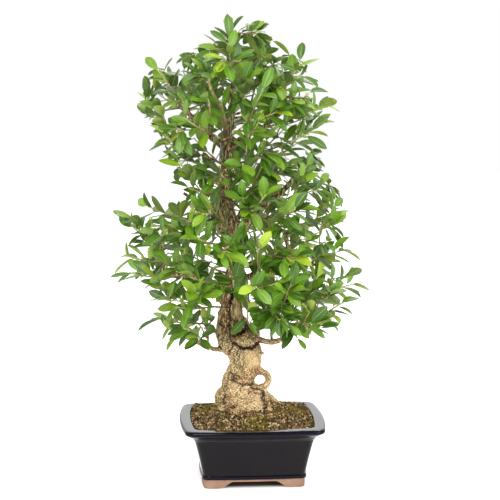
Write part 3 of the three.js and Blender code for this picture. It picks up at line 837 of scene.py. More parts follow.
STRANDS = [
    ([(-62, -10, 306), (-56, -16, 288), (-46, -20, 272), (-39, -22, 254), (-36, -24, 230)], (13, 6)),
    ([(-44, -8, 240), (-51, -9, 224), (-55, -9, 206), (-56, -6, 184)], (6, 10)),
    ([(-40, -18, 276), (-33, -27, 262), (-33, -28, 246), (-26, -30, 228), (-10, -30, 218)], (6, 4)),
    ([(-27, -24, 278), (-24, -31, 262), (-24, -31, 246), (-30, -29, 226)], (5, 4)),
    ([(13, -10, 272), (11, -16, 256), (11, -15, 238), (19, -12, 230)], (7.5, 7)),
    ([(29, -13, 197), (14, -19, 192), (-4, -26, 198), (-20, -30, 204)], (7, 8)),
    ([(22, -16, 200), (26, -27, 186), (29.5, -31, 171), (34, -35, 155), (38, -38, 136)], (5.6, 4.6)),
    ([(-30, 28, 300), (-34, 33, 262), (-26, 34, 224), (-34, 34, 180), (-46, 42, 138)], (10, 13)),
    ([(2, 24, 296), (14, 24, 258), (-4, 27, 214), (10, 34, 168), (22, 46, 134)], (9, 12)),
    ([(-62, 8, 330), (-60, 6, 350), (-56, 6, 380)], (10, 6)),
    ([(-22, -14, 306), (-24, -18, 326), (-32, -14, 352), (-34, -12, 390)], (12, 7)),
    ([(-48, 16, 320), (-44, 20, 360), (-40, 18, 410), (-34, 10, 460)], (12, 6)),
    ([(-50, -6, 500), (-48, -18, 530), (-58, -16, 560), (-60, -8, 600)], (6, 5)),
    ([(-24, 4, 480), (-26, 6, 520), (-44, 12, 560), (-46, 12, 610)], (7, 5)),
]
ROOT_TAPER = 0.42
FINENESS = {"trunk": (32, 120), "root": (20, 24), "strand": (16, 30), "ring": (16, 48), "limb": (12, 30)}


def tube(route, radius_at, sides, steps):
    """The points and faces of a closed tube along a curve, whose rings are carried along without twisting."""
    points = []
    across = crossways(heading(route, 0))
    for k in range(steps + 1):
        along = heading(route, k / steps)
        across = crossways(along, across)
        third = np.cross(across, along)
        for side in range(sides):
            angle = 2 * math.pi * side / sides
            arrow = across * math.cos(angle) + third * math.sin(angle)
            points.append(route(k / steps) + arrow * radius_at(k / steps))
    return points, closed_rings(steps + 1, sides)


def ball(at, half):
    work = bmesh.new()
    bmesh.ops.create_icosphere(work, subdivisions=3, radius=1)
    points = [np.array(at) + np.array(corner.co) * half for corner in work.verts]
    faces = [tuple(corner.index for corner in face.verts) for face in work.faces]
    work.free()
    return points, faces


def root_route(turn, run, rise):
    angle = math.radians(turn)
    start = SOIL_EDGE + SOIL_MOUND + rise
    steps = [(0.15, start), (0.5, mixed(start, ROOT_DIVE, 0.4)), (0.85, ROOT_DIVE), (1.15, ROOT_DIVE - 22)]
    across, deep = math.cos(angle) * run, math.sin(angle) * run
    return smooth_route([(TRUNK[1, 0] + across * far, TRUNK[1, 1] + deep * far, up) for far, up in steps])


def trunk_radius(share):
    return np.interp(share * (len(TRUNK) - 1), np.arange(len(TRUNK)), TRUNK[:, 3])


def trunk_forms():
    forms = [tube(trunk_route, trunk_radius, *FINENESS["trunk"])]
    forms += [tube(root_route(turn, run, rise), tapered(radius, radius * ROOT_TAPER), *FINENESS["root"])
              for turn, run, radius, rise in ROOTS]
    forms += [ball(at, half) for at, half in SWELLINGS]
    forms += [tube(smooth_route(points), tapered(*radii), *FINENESS["strand"]) for points, radii in STRANDS]
    angles = np.linspace(0, 2 * math.pi, FINENESS["ring"][1] + 1)
    loop = [np.array(RING["at"]) + RING["half"] * np.array([math.cos(a), 0, math.sin(a)]) for a in angles]
    forms.append(tube(smooth_route(loop), tapered(RING["radius"], RING["radius"]), *FINENESS["ring"]))
    forms += [tube(route, radius_at, *FINENESS["limb"]) for route, radius_at in wood[:len(LIMBS)]]
    return forms


def gathered(forms):
    points, faces = [], []
    for more_points, more_faces in forms:
        faces += [tuple(index + len(points) for index in face) for face in more_faces]
        points += more_points
    return np.array(points), faces


# %% Trunk skin
TRUNK_VOXEL = 1.75

trunk_points, trunk_faces = gathered(trunk_forms())
trunk = add_object("trunk_draft", outward(mesh_of("trunk_draft", placed(trunk_points), trunk_faces)))
melt = trunk.modifiers.new("melt", "REMESH")
melt.mode = "VOXEL"
melt.voxel_size = TRUNK_VOXEL * MM
ease = trunk.modifiers.new("ease", "SMOOTH")
ease.factor = 0.5
ease.iterations = 3
trunk = flattened(trunk, "trunk_and_limbs")
print("trunk skin:", triangles(trunk), "triangles")

# %% [markdown]
# Bark is relief before it is colour. Low down it is pebbly, higher up it splits into upright fissures.
# Each point of the skin is moved along its normal by a noise, and what then lies in a hollow is measured,
# so that the finish can darken the creases with painted shade.

# %% Creases and stained spots
# Each drawn crease is cut into the skin by its depth, and the finish also darkens it as painted shade.
GROOVES = [
    (3.6, 4.5, [(-39, 288), (-30, 278), (-14, 273.5), (0, 276.5), (13.5, 285)]),
    (2.6, 2.6, [(-66, 330), (-53, 314), (-42, 296), (-40, 284), (-43, 274), (-48, 264)]),
    (4.6, 2.8, [(-43, 223), (-39, 210), (-32.5, 202), (-20, 197), (-1, 198.5)]),
    (3.4, 4.2, [(2, 192), (12, 187), (23, 184)]),
    (4.0, 3.2, [(-41, 152), (-36, 148)]),
    (3.4, 3.4, [(23, 184), (25, 172), (28, 160), (31, 150)]),
    (3.0, 1.6, [(-59, 193), (-58, 176), (-58, 158)]),
    (1.1, 2.0, [(-34, 273), (-32.5, 259)]),
    (1.1, 1.8, [(-28.5, 271), (-28, 257)]),
    (5.0, 3.2, [(-40, 302), (-30, 308), (-18, 313), (-8, 324)]),
    (5.4, 6.0, [(-35, 396), (-40, 386), (-44, 375)]),
    (2.6, 3.4, [(-44, 375), (-48, 362), (-48, 350), (-45, 338), (-48, 322), (-43, 306)]),
    (1.6, 2.0, [(-53, 345), (-46, 336)]),
    (2.2, 2.2, [(-62, 332), (-54, 322)]),
]
WANDER = 1.5
RIPPLE = 0.6
WAVES_ACROSS = (0.31, 0, 0.83, 0.2)
WAVES_UP = (0.27, 1, 0.71, 0.3)
FRONT_EDGE = 6
FRONT_FADE = 12
SPOT_CORE = 1.35
STAINS = {
    "olive": [(-27, 246, 16, 26), (-57, 208, 10, 26), (-70, 166, 15, 32), (-14, 291, 30, 13),
              (-66, 305, 14, 30), (44, 168, 16, 14), (-30, 222, 16, 10)],
    "red": [(-57, 352, 8, 40), (-27, 384, 8, 18), (12, 225, 22, 11), (-20, 212, 24, 12), (-38, 152, 12, 9),
            (-22, 305, 20, 7), (14, 290, 8, 14), (-50, 160, 8, 22), (40, 158, 18, 8), (8, 188, 18, 5)],
    "bare": [(1, 250, 17, 22), (-31, 354, 10, 15)],
}


def as_seen(local):
    """Where places on the trunk appear from the camera, on the upright plane through the pot's middle."""
    eye_x, eye_y, eye_z = CAMERA_AT
    nearness = eye_y / (eye_y - local[:, 1])
    return eye_x + (local[:, 0] - eye_x) * nearness, eye_z + (local[:, 2] - eye_z) * nearness


def in_front(local):
    return np.clip((FRONT_EDGE - local[:, 1]) / FRONT_FADE, 0, 1)


def swayed(value, other, wave, phase, ripple, own):
    """A coordinate moved to and fro along the other one, so that a drawn line wanders."""
    return value + WANDER * (np.sin(wave * other + phase) + RIPPLE * np.sin(ripple * other + own * value))


def grooved(local):
    """How deep the drawn creases cut at each place, in millimetres."""
    x, z = as_seen(local)
    x = swayed(x, z, *WAVES_ACROSS)
    z = swayed(z, x, *WAVES_UP)
    depth = np.zeros(len(local))
    for width, deepest, line in GROOVES:
        gap = np.full(len(local), np.inf)
        for (x0, z0), (x1, z1) in zip(line, line[1:]):
            along_x, along_z = x1 - x0, z1 - z0
            share = ((x - x0) * along_x + (z - z0) * along_z) / (along_x ** 2 + along_z ** 2)
            share = np.clip(share, 0, 1)
            gap = np.minimum(gap, np.hypot(x - x0 - share * along_x, z - z0 - share * along_z))
        depth = np.maximum(depth, deepest * np.exp(-(gap / width) ** 2))
    return depth * in_front(local)


def stained(local, spots):
    """How far each place lies inside one of some oval spots: 1 in the middle, 0 outside."""
    x, z = as_seen(local)
    share = np.zeros(len(local))
    for at_x, at_z, half_x, half_z in spots:
        share = np.maximum(share, SPOT_CORE - np.hypot((x - at_x) / half_x, (z - at_z) / half_z))
    return np.clip(share, 0, 1) * in_front(local)


print("creases:", len(GROOVES), "stains:", ", ".join(STAINS))

# %% Bark relief and hollows
BARK_CHANGE = (215, 330)
PEBBLE = 4.1
PEBBLE_EDGE = 0.42
PEBBLE_RISE = 1.9
LUMP_RATE = 0.045
LUMP_RISE = 1.9
FISSURE_RATES = (0.16, 0.16, 0.035)
FISSURE_RISE = 2.6
FISSURE_SINK = 0.6
FINE_RATE = 0.42
FINE_RISE = 0.55
STRAND_RATES = (0.5, 0.5, 0.07)
STRAND_RISE = 0.9
STEM_X = -35
RELIEF_FADE = (45, 80)
FAR_RELIEF = 0.3
BARE_SMOOTHNESS = 0.6
WIDE_EASING = 24
CLOSE_EASING = 3


def mesh_arrays(mesh):
    points = np.empty(len(mesh.vertices) * 3)
    normals = np.empty(len(mesh.vertices) * 3)
    edges = np.empty(len(mesh.edges) * 2, int)
    mesh.vertices.foreach_get("co", points)
    mesh.vertex_normals.foreach_get("vector", normals)
    mesh.edges.foreach_get("vertices", edges)
    return points.reshape(-1, 3), normals.reshape(-1, 3), edges.reshape(-1, 2)


def eased(values, edges, times):
    """Values at the points of a mesh, each replaced time and again by the mean of its neighbours."""
    count = np.bincount(edges.ravel(), minlength=len(values))[:, None]
    for _ in range(times):
        total = np.zeros_like(values)
        np.add.at(total, edges[:, 0], values[edges[:, 1]])
        np.add.at(total, edges[:, 1], values[edges[:, 0]])
        values = (values + total / np.maximum(count, 1)) / 2
    return values


def stretched_noise(x, y, z, rates):
    return noise.noise(Vector((x * rates[0], y * rates[1], z * rates[2])))


def bark_height(x, y, z):
    """How far the bark stands out at a place, all in millimetres."""
    low = float(np.interp(z, BARK_CHANGE, [1, 0]))
    cells = noise.voronoi(Vector((x, y, z)) / PEBBLE)[0]
    pebbles = (PEBBLE_EDGE - cells[0]) * PEBBLE_RISE
    lumps = noise.fractal(Vector((x, y, z)) * LUMP_RATE, 0.9, 2.0, 3) * LUMP_RISE
    fissure = abs(stretched_noise(x, y, z, FISSURE_RATES)) * FISSURE_RISE - FISSURE_SINK
    fine = noise.noise(Vector((x, y, z)) * FINE_RATE) * FINE_RISE
    strands = stretched_noise(x, y, z, STRAND_RATES) * STRAND_RISE
    return low * (pebbles + fine) + lumps + (1 - 0.75 * low) * fissure + (1 - low) * strands


def hollows(points, normals, edges, times):
    return ((eased(points, edges, times) - points) * normals).sum(axis=1)


points, normals, edges = mesh_arrays(trunk.data)
local = (points - pot_middle) / MM
away = np.hypot(local[:, 0] - STEM_X, local[:, 1])
groove = grooved(local)
stains = {name: stained(local, spots) for name, spots in STAINS.items()}
strength = np.interp(away, RELIEF_FADE, [1, FAR_RELIEF]) * (1 - BARE_SMOOTHNESS * stains["bare"])
height = np.array([bark_height(*place) for place in local]) * strength - groove
trunk.data.vertices.foreach_set("co", (points + normals * height[:, None] * MM).ravel())
trunk.data.update()
points, normals, edges = mesh_arrays(trunk.data)
wide = hollows(points, normals, edges, WIDE_EASING) / MM
close = hollows(points, normals, edges, CLOSE_EASING) / MM
for name, values in (("crease", wide), ("pit", close), ("groove", groove), *stains.items()):
    layer = trunk.data.attributes.new(name, "FLOAT", "POINT")
    layer.data.foreach_set("value", np.asarray(values, np.float32))
trunk.data.shade_smooth()
for name, values in (("crease", wide), ("pit", close)):
    print(name, "depth, mm:", np.round(np.percentile(values, [5, 50, 95]), 2))

# %% [markdown]
# Fig bark is pale grey-tan, creamy on the bulges, olive where algae sit and red-brown round the loop, and
# its creases are darkened nearly to black as painted shade. The colours follow the measured hollows and the
# height up the trunk, and noise breaks them up, as round specks low down and as upright streaks above, so
# that no stretch is one flat colour.

# %% Bark finish
def bark_material(name, twiggy=False):
    material, tree, surface = new_material(name)
    place = object_place(tree)
    height = node_of(tree, "ShaderNodeSeparateXYZ")
    tree.links.new(place, height.inputs[0])
    patches = noise_at(tree, place, 34, detail=5, roughness=0.6)
    round_specks = noise_at(tree, place, 360, detail=3, roughness=0.75)
    streaks = noise_at(tree, object_place(tree, (1, 1, 0.25)), 280, detail=3, roughness=0.7)
    specks = blend_colors(tree, limited(tree, height.outputs["Z"], 0.29, 0.33), round_specks, streaks)
    low = ramp(tree, patches, [
        (0.32, srgb(156, 118, 74)), (0.48, srgb(204, 170, 121)), (0.64, srgb(234, 203, 155))])
    high = ramp(tree, patches, [
        (0.32, srgb(78, 62, 36)), (0.5, srgb(128, 106, 70)), (0.66, srgb(174, 148, 106))])
    color = blend_colors(tree, limited(tree, height.outputs["Z"], 0.25, 0.3), low, high)
    speck_share = 0.75
    if not twiggy:
        bare = attribute(tree, "bare")
        color = blend_colors(tree, limited(tree, bare, 0, 1, 0, 0.8), color, srgb(226, 192, 140))
        for name, stain, most in (("olive", srgb(126, 112, 62), 0.7), ("red", srgb(150, 92, 52), 0.75)):
            color = blend_colors(tree, limited(tree, attribute(tree, name), 0, 0.8, 0, most), color, stain)
        speck_share = limited(tree, bare, 0.1, 0.8, 0.8, 0.3)
    algae = noise_at(tree, object_place(tree, (1, 1, 0.7)), 19, detail=6, roughness=0.62)
    color = blend_colors(tree, limited(tree, algae, 0.54, 0.66, 0, 0.4), color, srgb(126, 118, 62))
    dark = calculate(tree, "MULTIPLY", limited(tree, specks, 0.5, 0.58), speck_share)
    color = blend_colors(tree, dark, color, srgb(84, 58, 30))
    light = calculate(tree, "MULTIPLY", limited(tree, specks, 0.49, 0.41), speck_share)
    color = blend_colors(tree, light, color, srgb(248, 228, 180))
    if not twiggy:
        # Pits, creases and drawn grooves are darkened here as painted shade.
        pit = limited(tree, attribute(tree, "pit"), 0, 0.26, 0, 0.85)
        color = blend_colors(tree, pit, color, srgb(92, 68, 40))
        crease = limited(tree, attribute(tree, "crease"), 0.5, 2.6, 0, 0.95)
        color = blend_colors(tree, crease, color, srgb(56, 34, 20))
        groove = limited(tree, attribute(tree, "groove"), 0.5, 3.4, 0, 0.9)
        color = blend_colors(tree, groove, color, srgb(46, 26, 14))
    tree.links.new(color, surface.inputs["Base Color"])
    surface.inputs["Roughness"].default_value = 0.82
    surface.inputs["Specular IOR Level"].default_value = 0.3
    grain = noise_at(tree, object_place(tree, (1, 1, 0.35)), 420, detail=4, roughness=0.65)
    rough = bump(tree, grain, 0.0016, 0.7, bump(tree, specks, 0.0022, 0.6))
    tree.links.new(bump(tree, patches, 0.003, 0.35, rough), surface.inputs["Normal"])
    return material


trunk.data.materials.append(bark_material("fig_bark"))
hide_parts("trunk")
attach(trunk, "root")
print("bark on", trunk.name)

# %% [markdown]
# Soil for a bonsai is loose grit: bark, pumice and lava sieved to a few millimetres, mounded up to the
# trunk. A bump map would look painted on, so the soil is a plain mound, and thousands of small grains lie
# on it.

# %% Soil mound
SOIL_RELIEF = 2.4
SOIL_RINGS = 22
BACK_RISE = 5
COLLAR = 6
COLLAR_REACH = (70, 60)
BACK_FROM = 30
BACK_RUN = 60
SOIL_WAVES = [(0.21, 0.13, 0), (-0.09, 0.27, 1.7), (0.11, -0.19, 0)]
SOIL_FOOT = (95.5, 29.2)
SOIL_SHOULDER = (118.6, 118)
SOIL_HALF = 119.3
SOIL_EYE = 0.04


def soil_height(x, y):
    far = math.hypot((x - MOUND_MIDDLE[0]) / MOUND_REACH[0], (y - MOUND_MIDDLE[1]) / MOUND_REACH[1])
    mound = SOIL_MOUND * max(0, 1 - far * far)
    rough = sum(math.sin(x * across + y * deep + phase) for across, deep, phase in SOIL_WAVES)
    back = BACK_RISE * min(max((y - BACK_FROM) / BACK_RUN, 0), 1)
    from_foot = math.hypot((x - TRUNK[1, 0]) / COLLAR_REACH[0], (y - TRUNK[1, 1]) / COLLAR_REACH[1])
    return SOIL_EDGE + max(mound, back) + COLLAR * math.exp(-from_foot ** 2) + SOIL_RELIEF * rough / 2


def soil_mesh():
    outline = pot_outline()
    levels = [pot_level(outline, *SOIL_FOOT), pot_level(outline, *SOIL_SHOULDER)]
    for share in np.linspace(1, SOIL_EYE, SOIL_RINGS):
        ring = pot_level(outline * share, SOIL_HALF, 0)
        ring[:, 2] = [soil_height(x, y) for x, y, _ in ring]
        levels.append(ring)
    faces = closed_rings(len(levels), len(outline))
    return outward(mesh_of("soil_mound", placed(np.vstack(levels)), faces))


soil = add_object("soil_mound", soil_mesh())
print("soil:", triangles(soil), "triangles")

# %% [markdown]
# Grains, moss tufts, leaves: each is one small form laid out many times. A Geometry Nodes tree does that:
# it scatters points or takes given ones, puts an instance on each, makes the instances real and sets the
# material. These helpers build such trees in a few lines and turn the outcome into a plain mesh.

# %% Helpers for geometry trees
def new_geometry_tree(name, **inputs):
    tree = bpy.data.node_groups.new(name, "GeometryNodeTree")
    tree.interface.new_socket("Geometry", in_out="INPUT", socket_type="NodeSocketGeometry")
    for label, kind in inputs.items():
        tree.interface.new_socket(label.replace("_", " "), in_out="INPUT", socket_type="NodeSocket" + kind)
    tree.interface.new_socket("Geometry", in_out="OUTPUT", socket_type="NodeSocketGeometry")
    return tree, tree.nodes.new("NodeGroupInput"), tree.nodes.new("NodeGroupOutput")


def wire(tree, source, target):
    tree.links.new(source, target)


def named(tree, name, kind):
    made = node_of(tree, "GeometryNodeInputNamedAttribute", data_type=kind)
    made.inputs["Name"].default_value = name
    return made.outputs["Attribute"]


def run_tree(made, tree, name, **values):
    """Carries out a tree on an object and returns the outcome as a plain object."""
    modifier = made.modifiers.new("tree", "NODES")
    modifier.node_group = tree
    for socket in tree.interface.items_tree:
        label = socket.name.replace(" ", "_")
        if socket.in_out == "INPUT" and label in values:
            modifier[socket.identifier] = values[label]
    return flattened(made, name)


def add_layer(mesh, name, kind, values):
    layer = mesh.attributes.new(name, kind, "POINT")
    field = "vector" if kind == "FLOAT_VECTOR" else "value"
    layer.data.foreach_set(field, np.asarray(values).ravel())


def collection_of(name, objects):
    """A collection that holds only the forms to be laid out, so that a tree can pick from them."""
    made = bpy.data.collections.new(name)
    for item in objects:
        bpy.context.scene.collection.objects.unlink(item)
        made.objects.link(item)
    return made


def drop_collection(made):
    for item in list(made.objects):
        bpy.data.objects.remove(item)
    bpy.data.collections.remove(made)


# %% Tree that scatters grains
FULL_TURN = 6.28


def scatter_tree():
    tree, given, result = new_geometry_tree(
        "scatter_grains", Forms="Collection", Apart="Float", Density="Float", Smallest="Float",
        Largest="Float", Seed="Int", Finish="Material")
    spread = node_of(tree, "GeometryNodeDistributePointsOnFaces", distribute_method="POISSON")
    wire(tree, given.outputs["Geometry"], spread.inputs["Mesh"])
    wire(tree, given.outputs["Apart"], spread.inputs["Distance Min"])
    wire(tree, given.outputs["Density"], spread.inputs["Density Max"])
    wire(tree, given.outputs["Seed"], spread.inputs["Seed"])
    wire(tree, named(tree, "cover", "FLOAT"), spread.inputs["Density Factor"])
    forms = node_of(tree, "GeometryNodeCollectionInfo")
    forms.inputs["Separate Children"].default_value = True
    forms.inputs["Reset Children"].default_value = True
    wire(tree, given.outputs["Forms"], forms.inputs["Collection"])
    turn = node_of(tree, "FunctionNodeRandomValue", data_type="FLOAT_VECTOR")
    turn.inputs["Max"].default_value = (FULL_TURN, FULL_TURN, FULL_TURN)
    turn.inputs["Seed"].default_value = 1
    size = node_of(tree, "FunctionNodeRandomValue", data_type="FLOAT")
    size.inputs["Seed"].default_value = 2
    wire(tree, given.outputs["Smallest"], size.inputs[2])
    wire(tree, given.outputs["Largest"], size.inputs[3])
    shade = node_of(tree, "FunctionNodeRandomValue", data_type="FLOAT")
    shade.inputs["Seed"].default_value = 3
    mark = node_of(tree, "GeometryNodeStoreNamedAttribute", data_type="FLOAT", domain="POINT")
    mark.inputs["Name"].default_value = "shade"
    wire(tree, spread.outputs["Points"], mark.inputs["Geometry"])
    wire(tree, shade.outputs[1], mark.inputs["Value"])
    lay = node_of(tree, "GeometryNodeInstanceOnPoints")
    lay.inputs["Pick Instance"].default_value = True
    wire(tree, mark.outputs["Geometry"], lay.inputs["Points"])
    wire(tree, forms.outputs["Instances"], lay.inputs["Instance"])
    rotation = node_of(tree, "FunctionNodeEulerToRotation")
    wire(tree, turn.outputs[0], rotation.inputs[0])
    wire(tree, rotation.outputs[0], lay.inputs["Rotation"])
    wire(tree, size.outputs[1], lay.inputs["Scale"])
    real = node_of(tree, "GeometryNodeRealizeInstances")
    wire(tree, lay.outputs["Instances"], real.inputs["Geometry"])
    paint = node_of(tree, "GeometryNodeSetMaterial")
    wire(tree, real.outputs["Geometry"], paint.inputs["Geometry"])
    wire(tree, given.outputs["Finish"], paint.inputs["Material"])
    wire(tree, paint.outputs["Geometry"], result.inputs[0])
    return tree


grains = scatter_tree()
print("tree:", grains.name, "with", len(grains.nodes), "nodes")

# %% [markdown]
# Each grain is a ball of twenty faces pushed out of round, once as a stubby stone and once as a flat chip,
# so that light catches facets as on broken lava and bark. A seeded draw gives each its own shade, which
# the finish turns into cream pumice, brown bark or black lava.

# %% Grit
GRAIN_LEAST = 0.72
GRAIN_PUSH = 0.5
OPEN_ABOVE = 0.119
OPEN_SLOPE = 0.3


def grain_form(name, key, stretch):
    work = bmesh.new()
    bmesh.ops.create_icosphere(work, subdivisions=1, radius=1)
    for corner in work.verts:
        push = GRAIN_LEAST + GRAIN_PUSH * chance(key, corner.index)
        corner.co = Vector([part * wide * push for part, wide in zip(corner.co, stretch)])
    mesh = bpy.data.meshes.new(name)
    work.to_mesh(mesh)
    work.free()
    return add_object(name, mesh)


def cover_patch(name, cover):
    """The soil's open surface alone, with how thickly each point of it is covered."""
    work = bmesh.new()
    work.from_mesh(soil.data)
    hidden = [face for face in work.faces if max(corner.co.z for corner in face.verts) < OPEN_ABOVE]
    hidden += [face for face in work.faces if face.normal.z < OPEN_SLOPE and face not in hidden]
    bmesh.ops.delete(work, geom=hidden, context="FACES")
    mesh = bpy.data.meshes.new(name)
    work.to_mesh(mesh)
    work.free()
    local = (mesh_arrays(mesh)[0] - pot_middle) / MM
    add_layer(mesh, "cover", "FLOAT", [cover(x, y) for x, y, _ in local])
    return add_object(name, mesh)


def grit_material():
    material, tree, surface = new_material("grit")
    shade = attribute(tree, "shade")
    stones = ramp(tree, shade, [
        (0.0, srgb(22, 15, 12)), (0.22, srgb(52, 34, 22)), (0.4, srgb(104, 78, 48)),
        (0.58, srgb(144, 112, 70)), (0.74, srgb(178, 144, 100)), (0.88, srgb(212, 182, 138)),
        (1.0, srgb(238, 218, 182))])
    place = object_place(tree)
    dust = noise_at(tree, place, 300, detail=3)
    color = blend_colors(tree, limited(tree, dust, 0.5, 0.75, 0, 0.35), stones, srgb(88, 72, 40))
    damp = limited(tree, noise_at(tree, place, 26), 0.42, 0.62, 0, 0.45)
    color = blend_colors(tree, damp, color, srgb(92, 82, 38))
    tree.links.new(color, surface.inputs["Base Color"])
    surface.inputs["Roughness"].default_value = 0.95
    surface.inputs["Specular IOR Level"].default_value = 0.2
    tree.links.new(bump(tree, dust, 0.0006, 0.5), surface.inputs["Normal"])
    return material


grit_finish = grit_material()
forms = [grain_form("stone_grain", 71, (1, 0.85, 0.75)), grain_form("long_grain", 72, (1.25, 0.7, 0.55)),
         grain_form("flat_chip", 73, (1.15, 0.9, 0.35)), grain_form("small_stone", 74, (0.8, 0.75, 0.7))]
grit_forms = collection_of("grit_forms", forms)
grit = run_tree(cover_patch("grit_draft", lambda x, y: 1.0), grains, "grit", Forms=grit_forms, Apart=2.5 * MM,
                Density=160000.0, Smallest=1.5 * MM, Largest=3.7 * MM, Seed=5, Finish=grit_finish)
drop_collection(grit_forms)
print("grit:", triangles(grit), "triangles")

# %% [markdown]
# Moss grows on the grit in low cushions where water lies longest. Up close a cushion is a crowd of tiny
# upright shoots, so one tuft of pointed blades is scattered closely, and only inside a few soft-edged
# patches.

# %% Moss
MOSS = [
    (4, -80, 34, 22), (-62, -90, 16, 9), (96, 22, 26, 38), (58, -34, 18, 12), (-94, 24, 16, 30),
    (48, -98, 18, 8), (60, 70, 34, 14), (-70, 80, 28, 10), (40, -52, 14, 9),
]
MOSS_RAGGED = 0.28
MOSS_RAGGED_RATE = 0.09
MOSS_EDGE = 1.15
MOSS_FADE = 1.6
BLADES = 5


def moss_cover(x, y):
    nearest = min(math.hypot((x - mx) / half_x, (y - my) / half_y) for mx, my, half_x, half_y in MOSS)
    ragged = MOSS_RAGGED * noise.noise(Vector((x, y, 0)) * MOSS_RAGGED_RATE)
    return min(max((MOSS_EDGE - nearest - ragged) * MOSS_FADE, 0), 1)


def tuft_form(name, key):
    points, faces = [], []
    for blade in range(BLADES):
        angle = 2 * math.pi * (blade / BLADES + 0.1 * chance(key, blade))
        lean = 0.55 * chance(key, blade, 1) + 0.15
        foot = np.array([math.cos(angle), math.sin(angle), 0]) * 0.35
        top = foot + np.array([math.cos(angle) * lean, math.sin(angle) * lean, 1])
        start = len(points)
        for corner in range(3):
            turn = angle + 2 * math.pi * corner / 3
            points.append(foot + 0.22 * np.array([math.cos(turn), math.sin(turn), 0]))
        points.append(top)
        faces += [(start + a, start + b, start + 3) for a, b in ((0, 1), (1, 2), (2, 0))]
        faces.append((start + 2, start + 1, start))
    return add_object(name, outward(mesh_of(name, points, faces, smooth=False)))


def moss_material():
    material, tree, surface = new_material("moss")
    shade = attribute(tree, "shade")
    green = ramp(tree, shade, [(0.0, srgb(78, 66, 20)), (0.45, srgb(118, 106, 30)), (0.8, srgb(156, 146, 44)),
                               (1.0, srgb(190, 178, 74))])
    place = object_place(tree)
    dry = limited(tree, noise_at(tree, place, 55), 0.4, 0.65, 0, 0.7)
    color = blend_colors(tree, dry, green, srgb(110, 90, 46))
    tree.links.new(color, surface.inputs["Base Color"])
    surface.inputs["Roughness"].default_value = 0.9
    surface.inputs["Specular IOR Level"].default_value = 0.25
    return material


moss_finish = moss_material()
tufts = collection_of("tuft_forms", [tuft_form("tuft_a", 81), tuft_form("tuft_b", 82), tuft_form("tuft_c", 83)])
moss = run_tree(cover_patch("moss_draft", moss_cover), grains, "moss", Forms=tufts, Apart=1.5 * MM,
                Density=420000.0, Smallest=2.2 * MM, Largest=4.2 * MM, Seed=9, Finish=moss_finish)
drop_collection(tufts)
print("moss:", triangles(moss), "triangles")

# %% Soil finish
def soil_material():
    material, tree, surface = new_material("damp_soil")
    place = object_place(tree)
    crumbs = cells_at(tree, place, 330)
    color = ramp(tree, crumbs, [(0.0, srgb(110, 88, 56)), (0.5, srgb(74, 54, 32)), (1.0, srgb(36, 26, 16))])
    tree.links.new(color, surface.inputs["Base Color"])
    surface.inputs["Roughness"].default_value = 0.95
    tree.links.new(bump(tree, crumbs, 0.002, 0.8), surface.inputs["Normal"])
    return material


soil.data.materials.append(soil_material())
for piece in (soil, grit, moss):
    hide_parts("soil")
    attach(piece, "root")
print("soil pieces:", soil.name, grit.name, moss.name)

# %% [markdown]
# Branches thinner than a finger need no sculpting: each is a line with a thickness at every point, and one
# tree sweeps a small circle along it. The same tree later makes the twigs under the leaves.

# %% Tree that sweeps twigs
def line_mesh(name, lines):
    """Open lines, each given by its places and its radii there, with the radius kept on every point."""
    points, edges, thick, age = [], [], [], []
    for places, radii in lines:
        start = len(points)
        points += list(places)
        thick += list(radii)
        age += list(np.linspace(1, 0, len(places)))
        edges += [(start + k, start + k + 1) for k in range(len(places) - 1)]
    mesh = bpy.data.meshes.new(name)
    mesh.from_pydata(placed(np.array(points)).tolist(), edges, [])
    add_layer(mesh, "thick", "FLOAT", np.array(thick) * MM)
    add_layer(mesh, "age", "FLOAT", age)
    return mesh


def sweep(tree, source, sides, finish):
    lines = node_of(tree, "GeometryNodeMeshToCurve")
    wire(tree, source, lines.inputs["Mesh"])
    circle = node_of(tree, "GeometryNodeCurvePrimitiveCircle")
    circle.inputs["Resolution"].default_value = sides
    circle.inputs["Radius"].default_value = 1
    tubes = node_of(tree, "GeometryNodeCurveToMesh")
    tubes.inputs["Fill Caps"].default_value = True
    wire(tree, lines.outputs[0], tubes.inputs["Curve"])
    wire(tree, circle.outputs[0], tubes.inputs["Profile Curve"])
    wire(tree, named(tree, "thick", "FLOAT"), tubes.inputs["Scale"])
    paint = node_of(tree, "GeometryNodeSetMaterial")
    wire(tree, tubes.outputs[0], paint.inputs["Geometry"])
    wire(tree, finish, paint.inputs["Material"])
    return paint.outputs[0]


def branch_tree():
    tree, given, result = new_geometry_tree("sweep_branches", Finish="Material")
    wire(tree, sweep(tree, given.outputs["Geometry"], 10, given.outputs["Finish"]), result.inputs[0])
    return tree


def sampled(route, radius_at, steps, end=1):
    shares = np.linspace(0, end, steps + 1)
    return [route(share) for share in shares], [radius_at(share) for share in shares]


lines = [sampled(route, radius_at, 20) for route, radius_at in wood[len(LIMBS):]]
branches = run_tree(add_object("branch_draft", line_mesh("branch_lines", lines)), branch_tree(), "branches",
                    Finish=bark_material("branch_bark", twiggy=True))
branches.data.shade_smooth()
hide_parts("trunk")
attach(branches, "root")
print("branches:", triangles(branches), "triangles")

# %% [markdown]
# The crown is where the likeness lies. Leaves stand in a spiral round each shoot, turn their faces to the
# light and keep clear of each other. First come the leaves of the plain model, by its own rule.

# %% Leaves on the plain shoots
LEAVES = 8
LEAF_TRIES = 12
LEAF_SPACING = 10.5
LEAF_LENGTH = (42, 55)
LEAF_SLENDERNESS = 0.21
MEASURED_SHOOTS = (0, 12, 37)


def side_of(stem, share, which):
    along = heading(stem, share)
    across = crossways(along, crossways(heading(stem, 0)))
    angle = (1 + 4 * which) * math.pi / 6
    return across * math.cos(angle) + np.cross(across, along) * math.sin(angle)


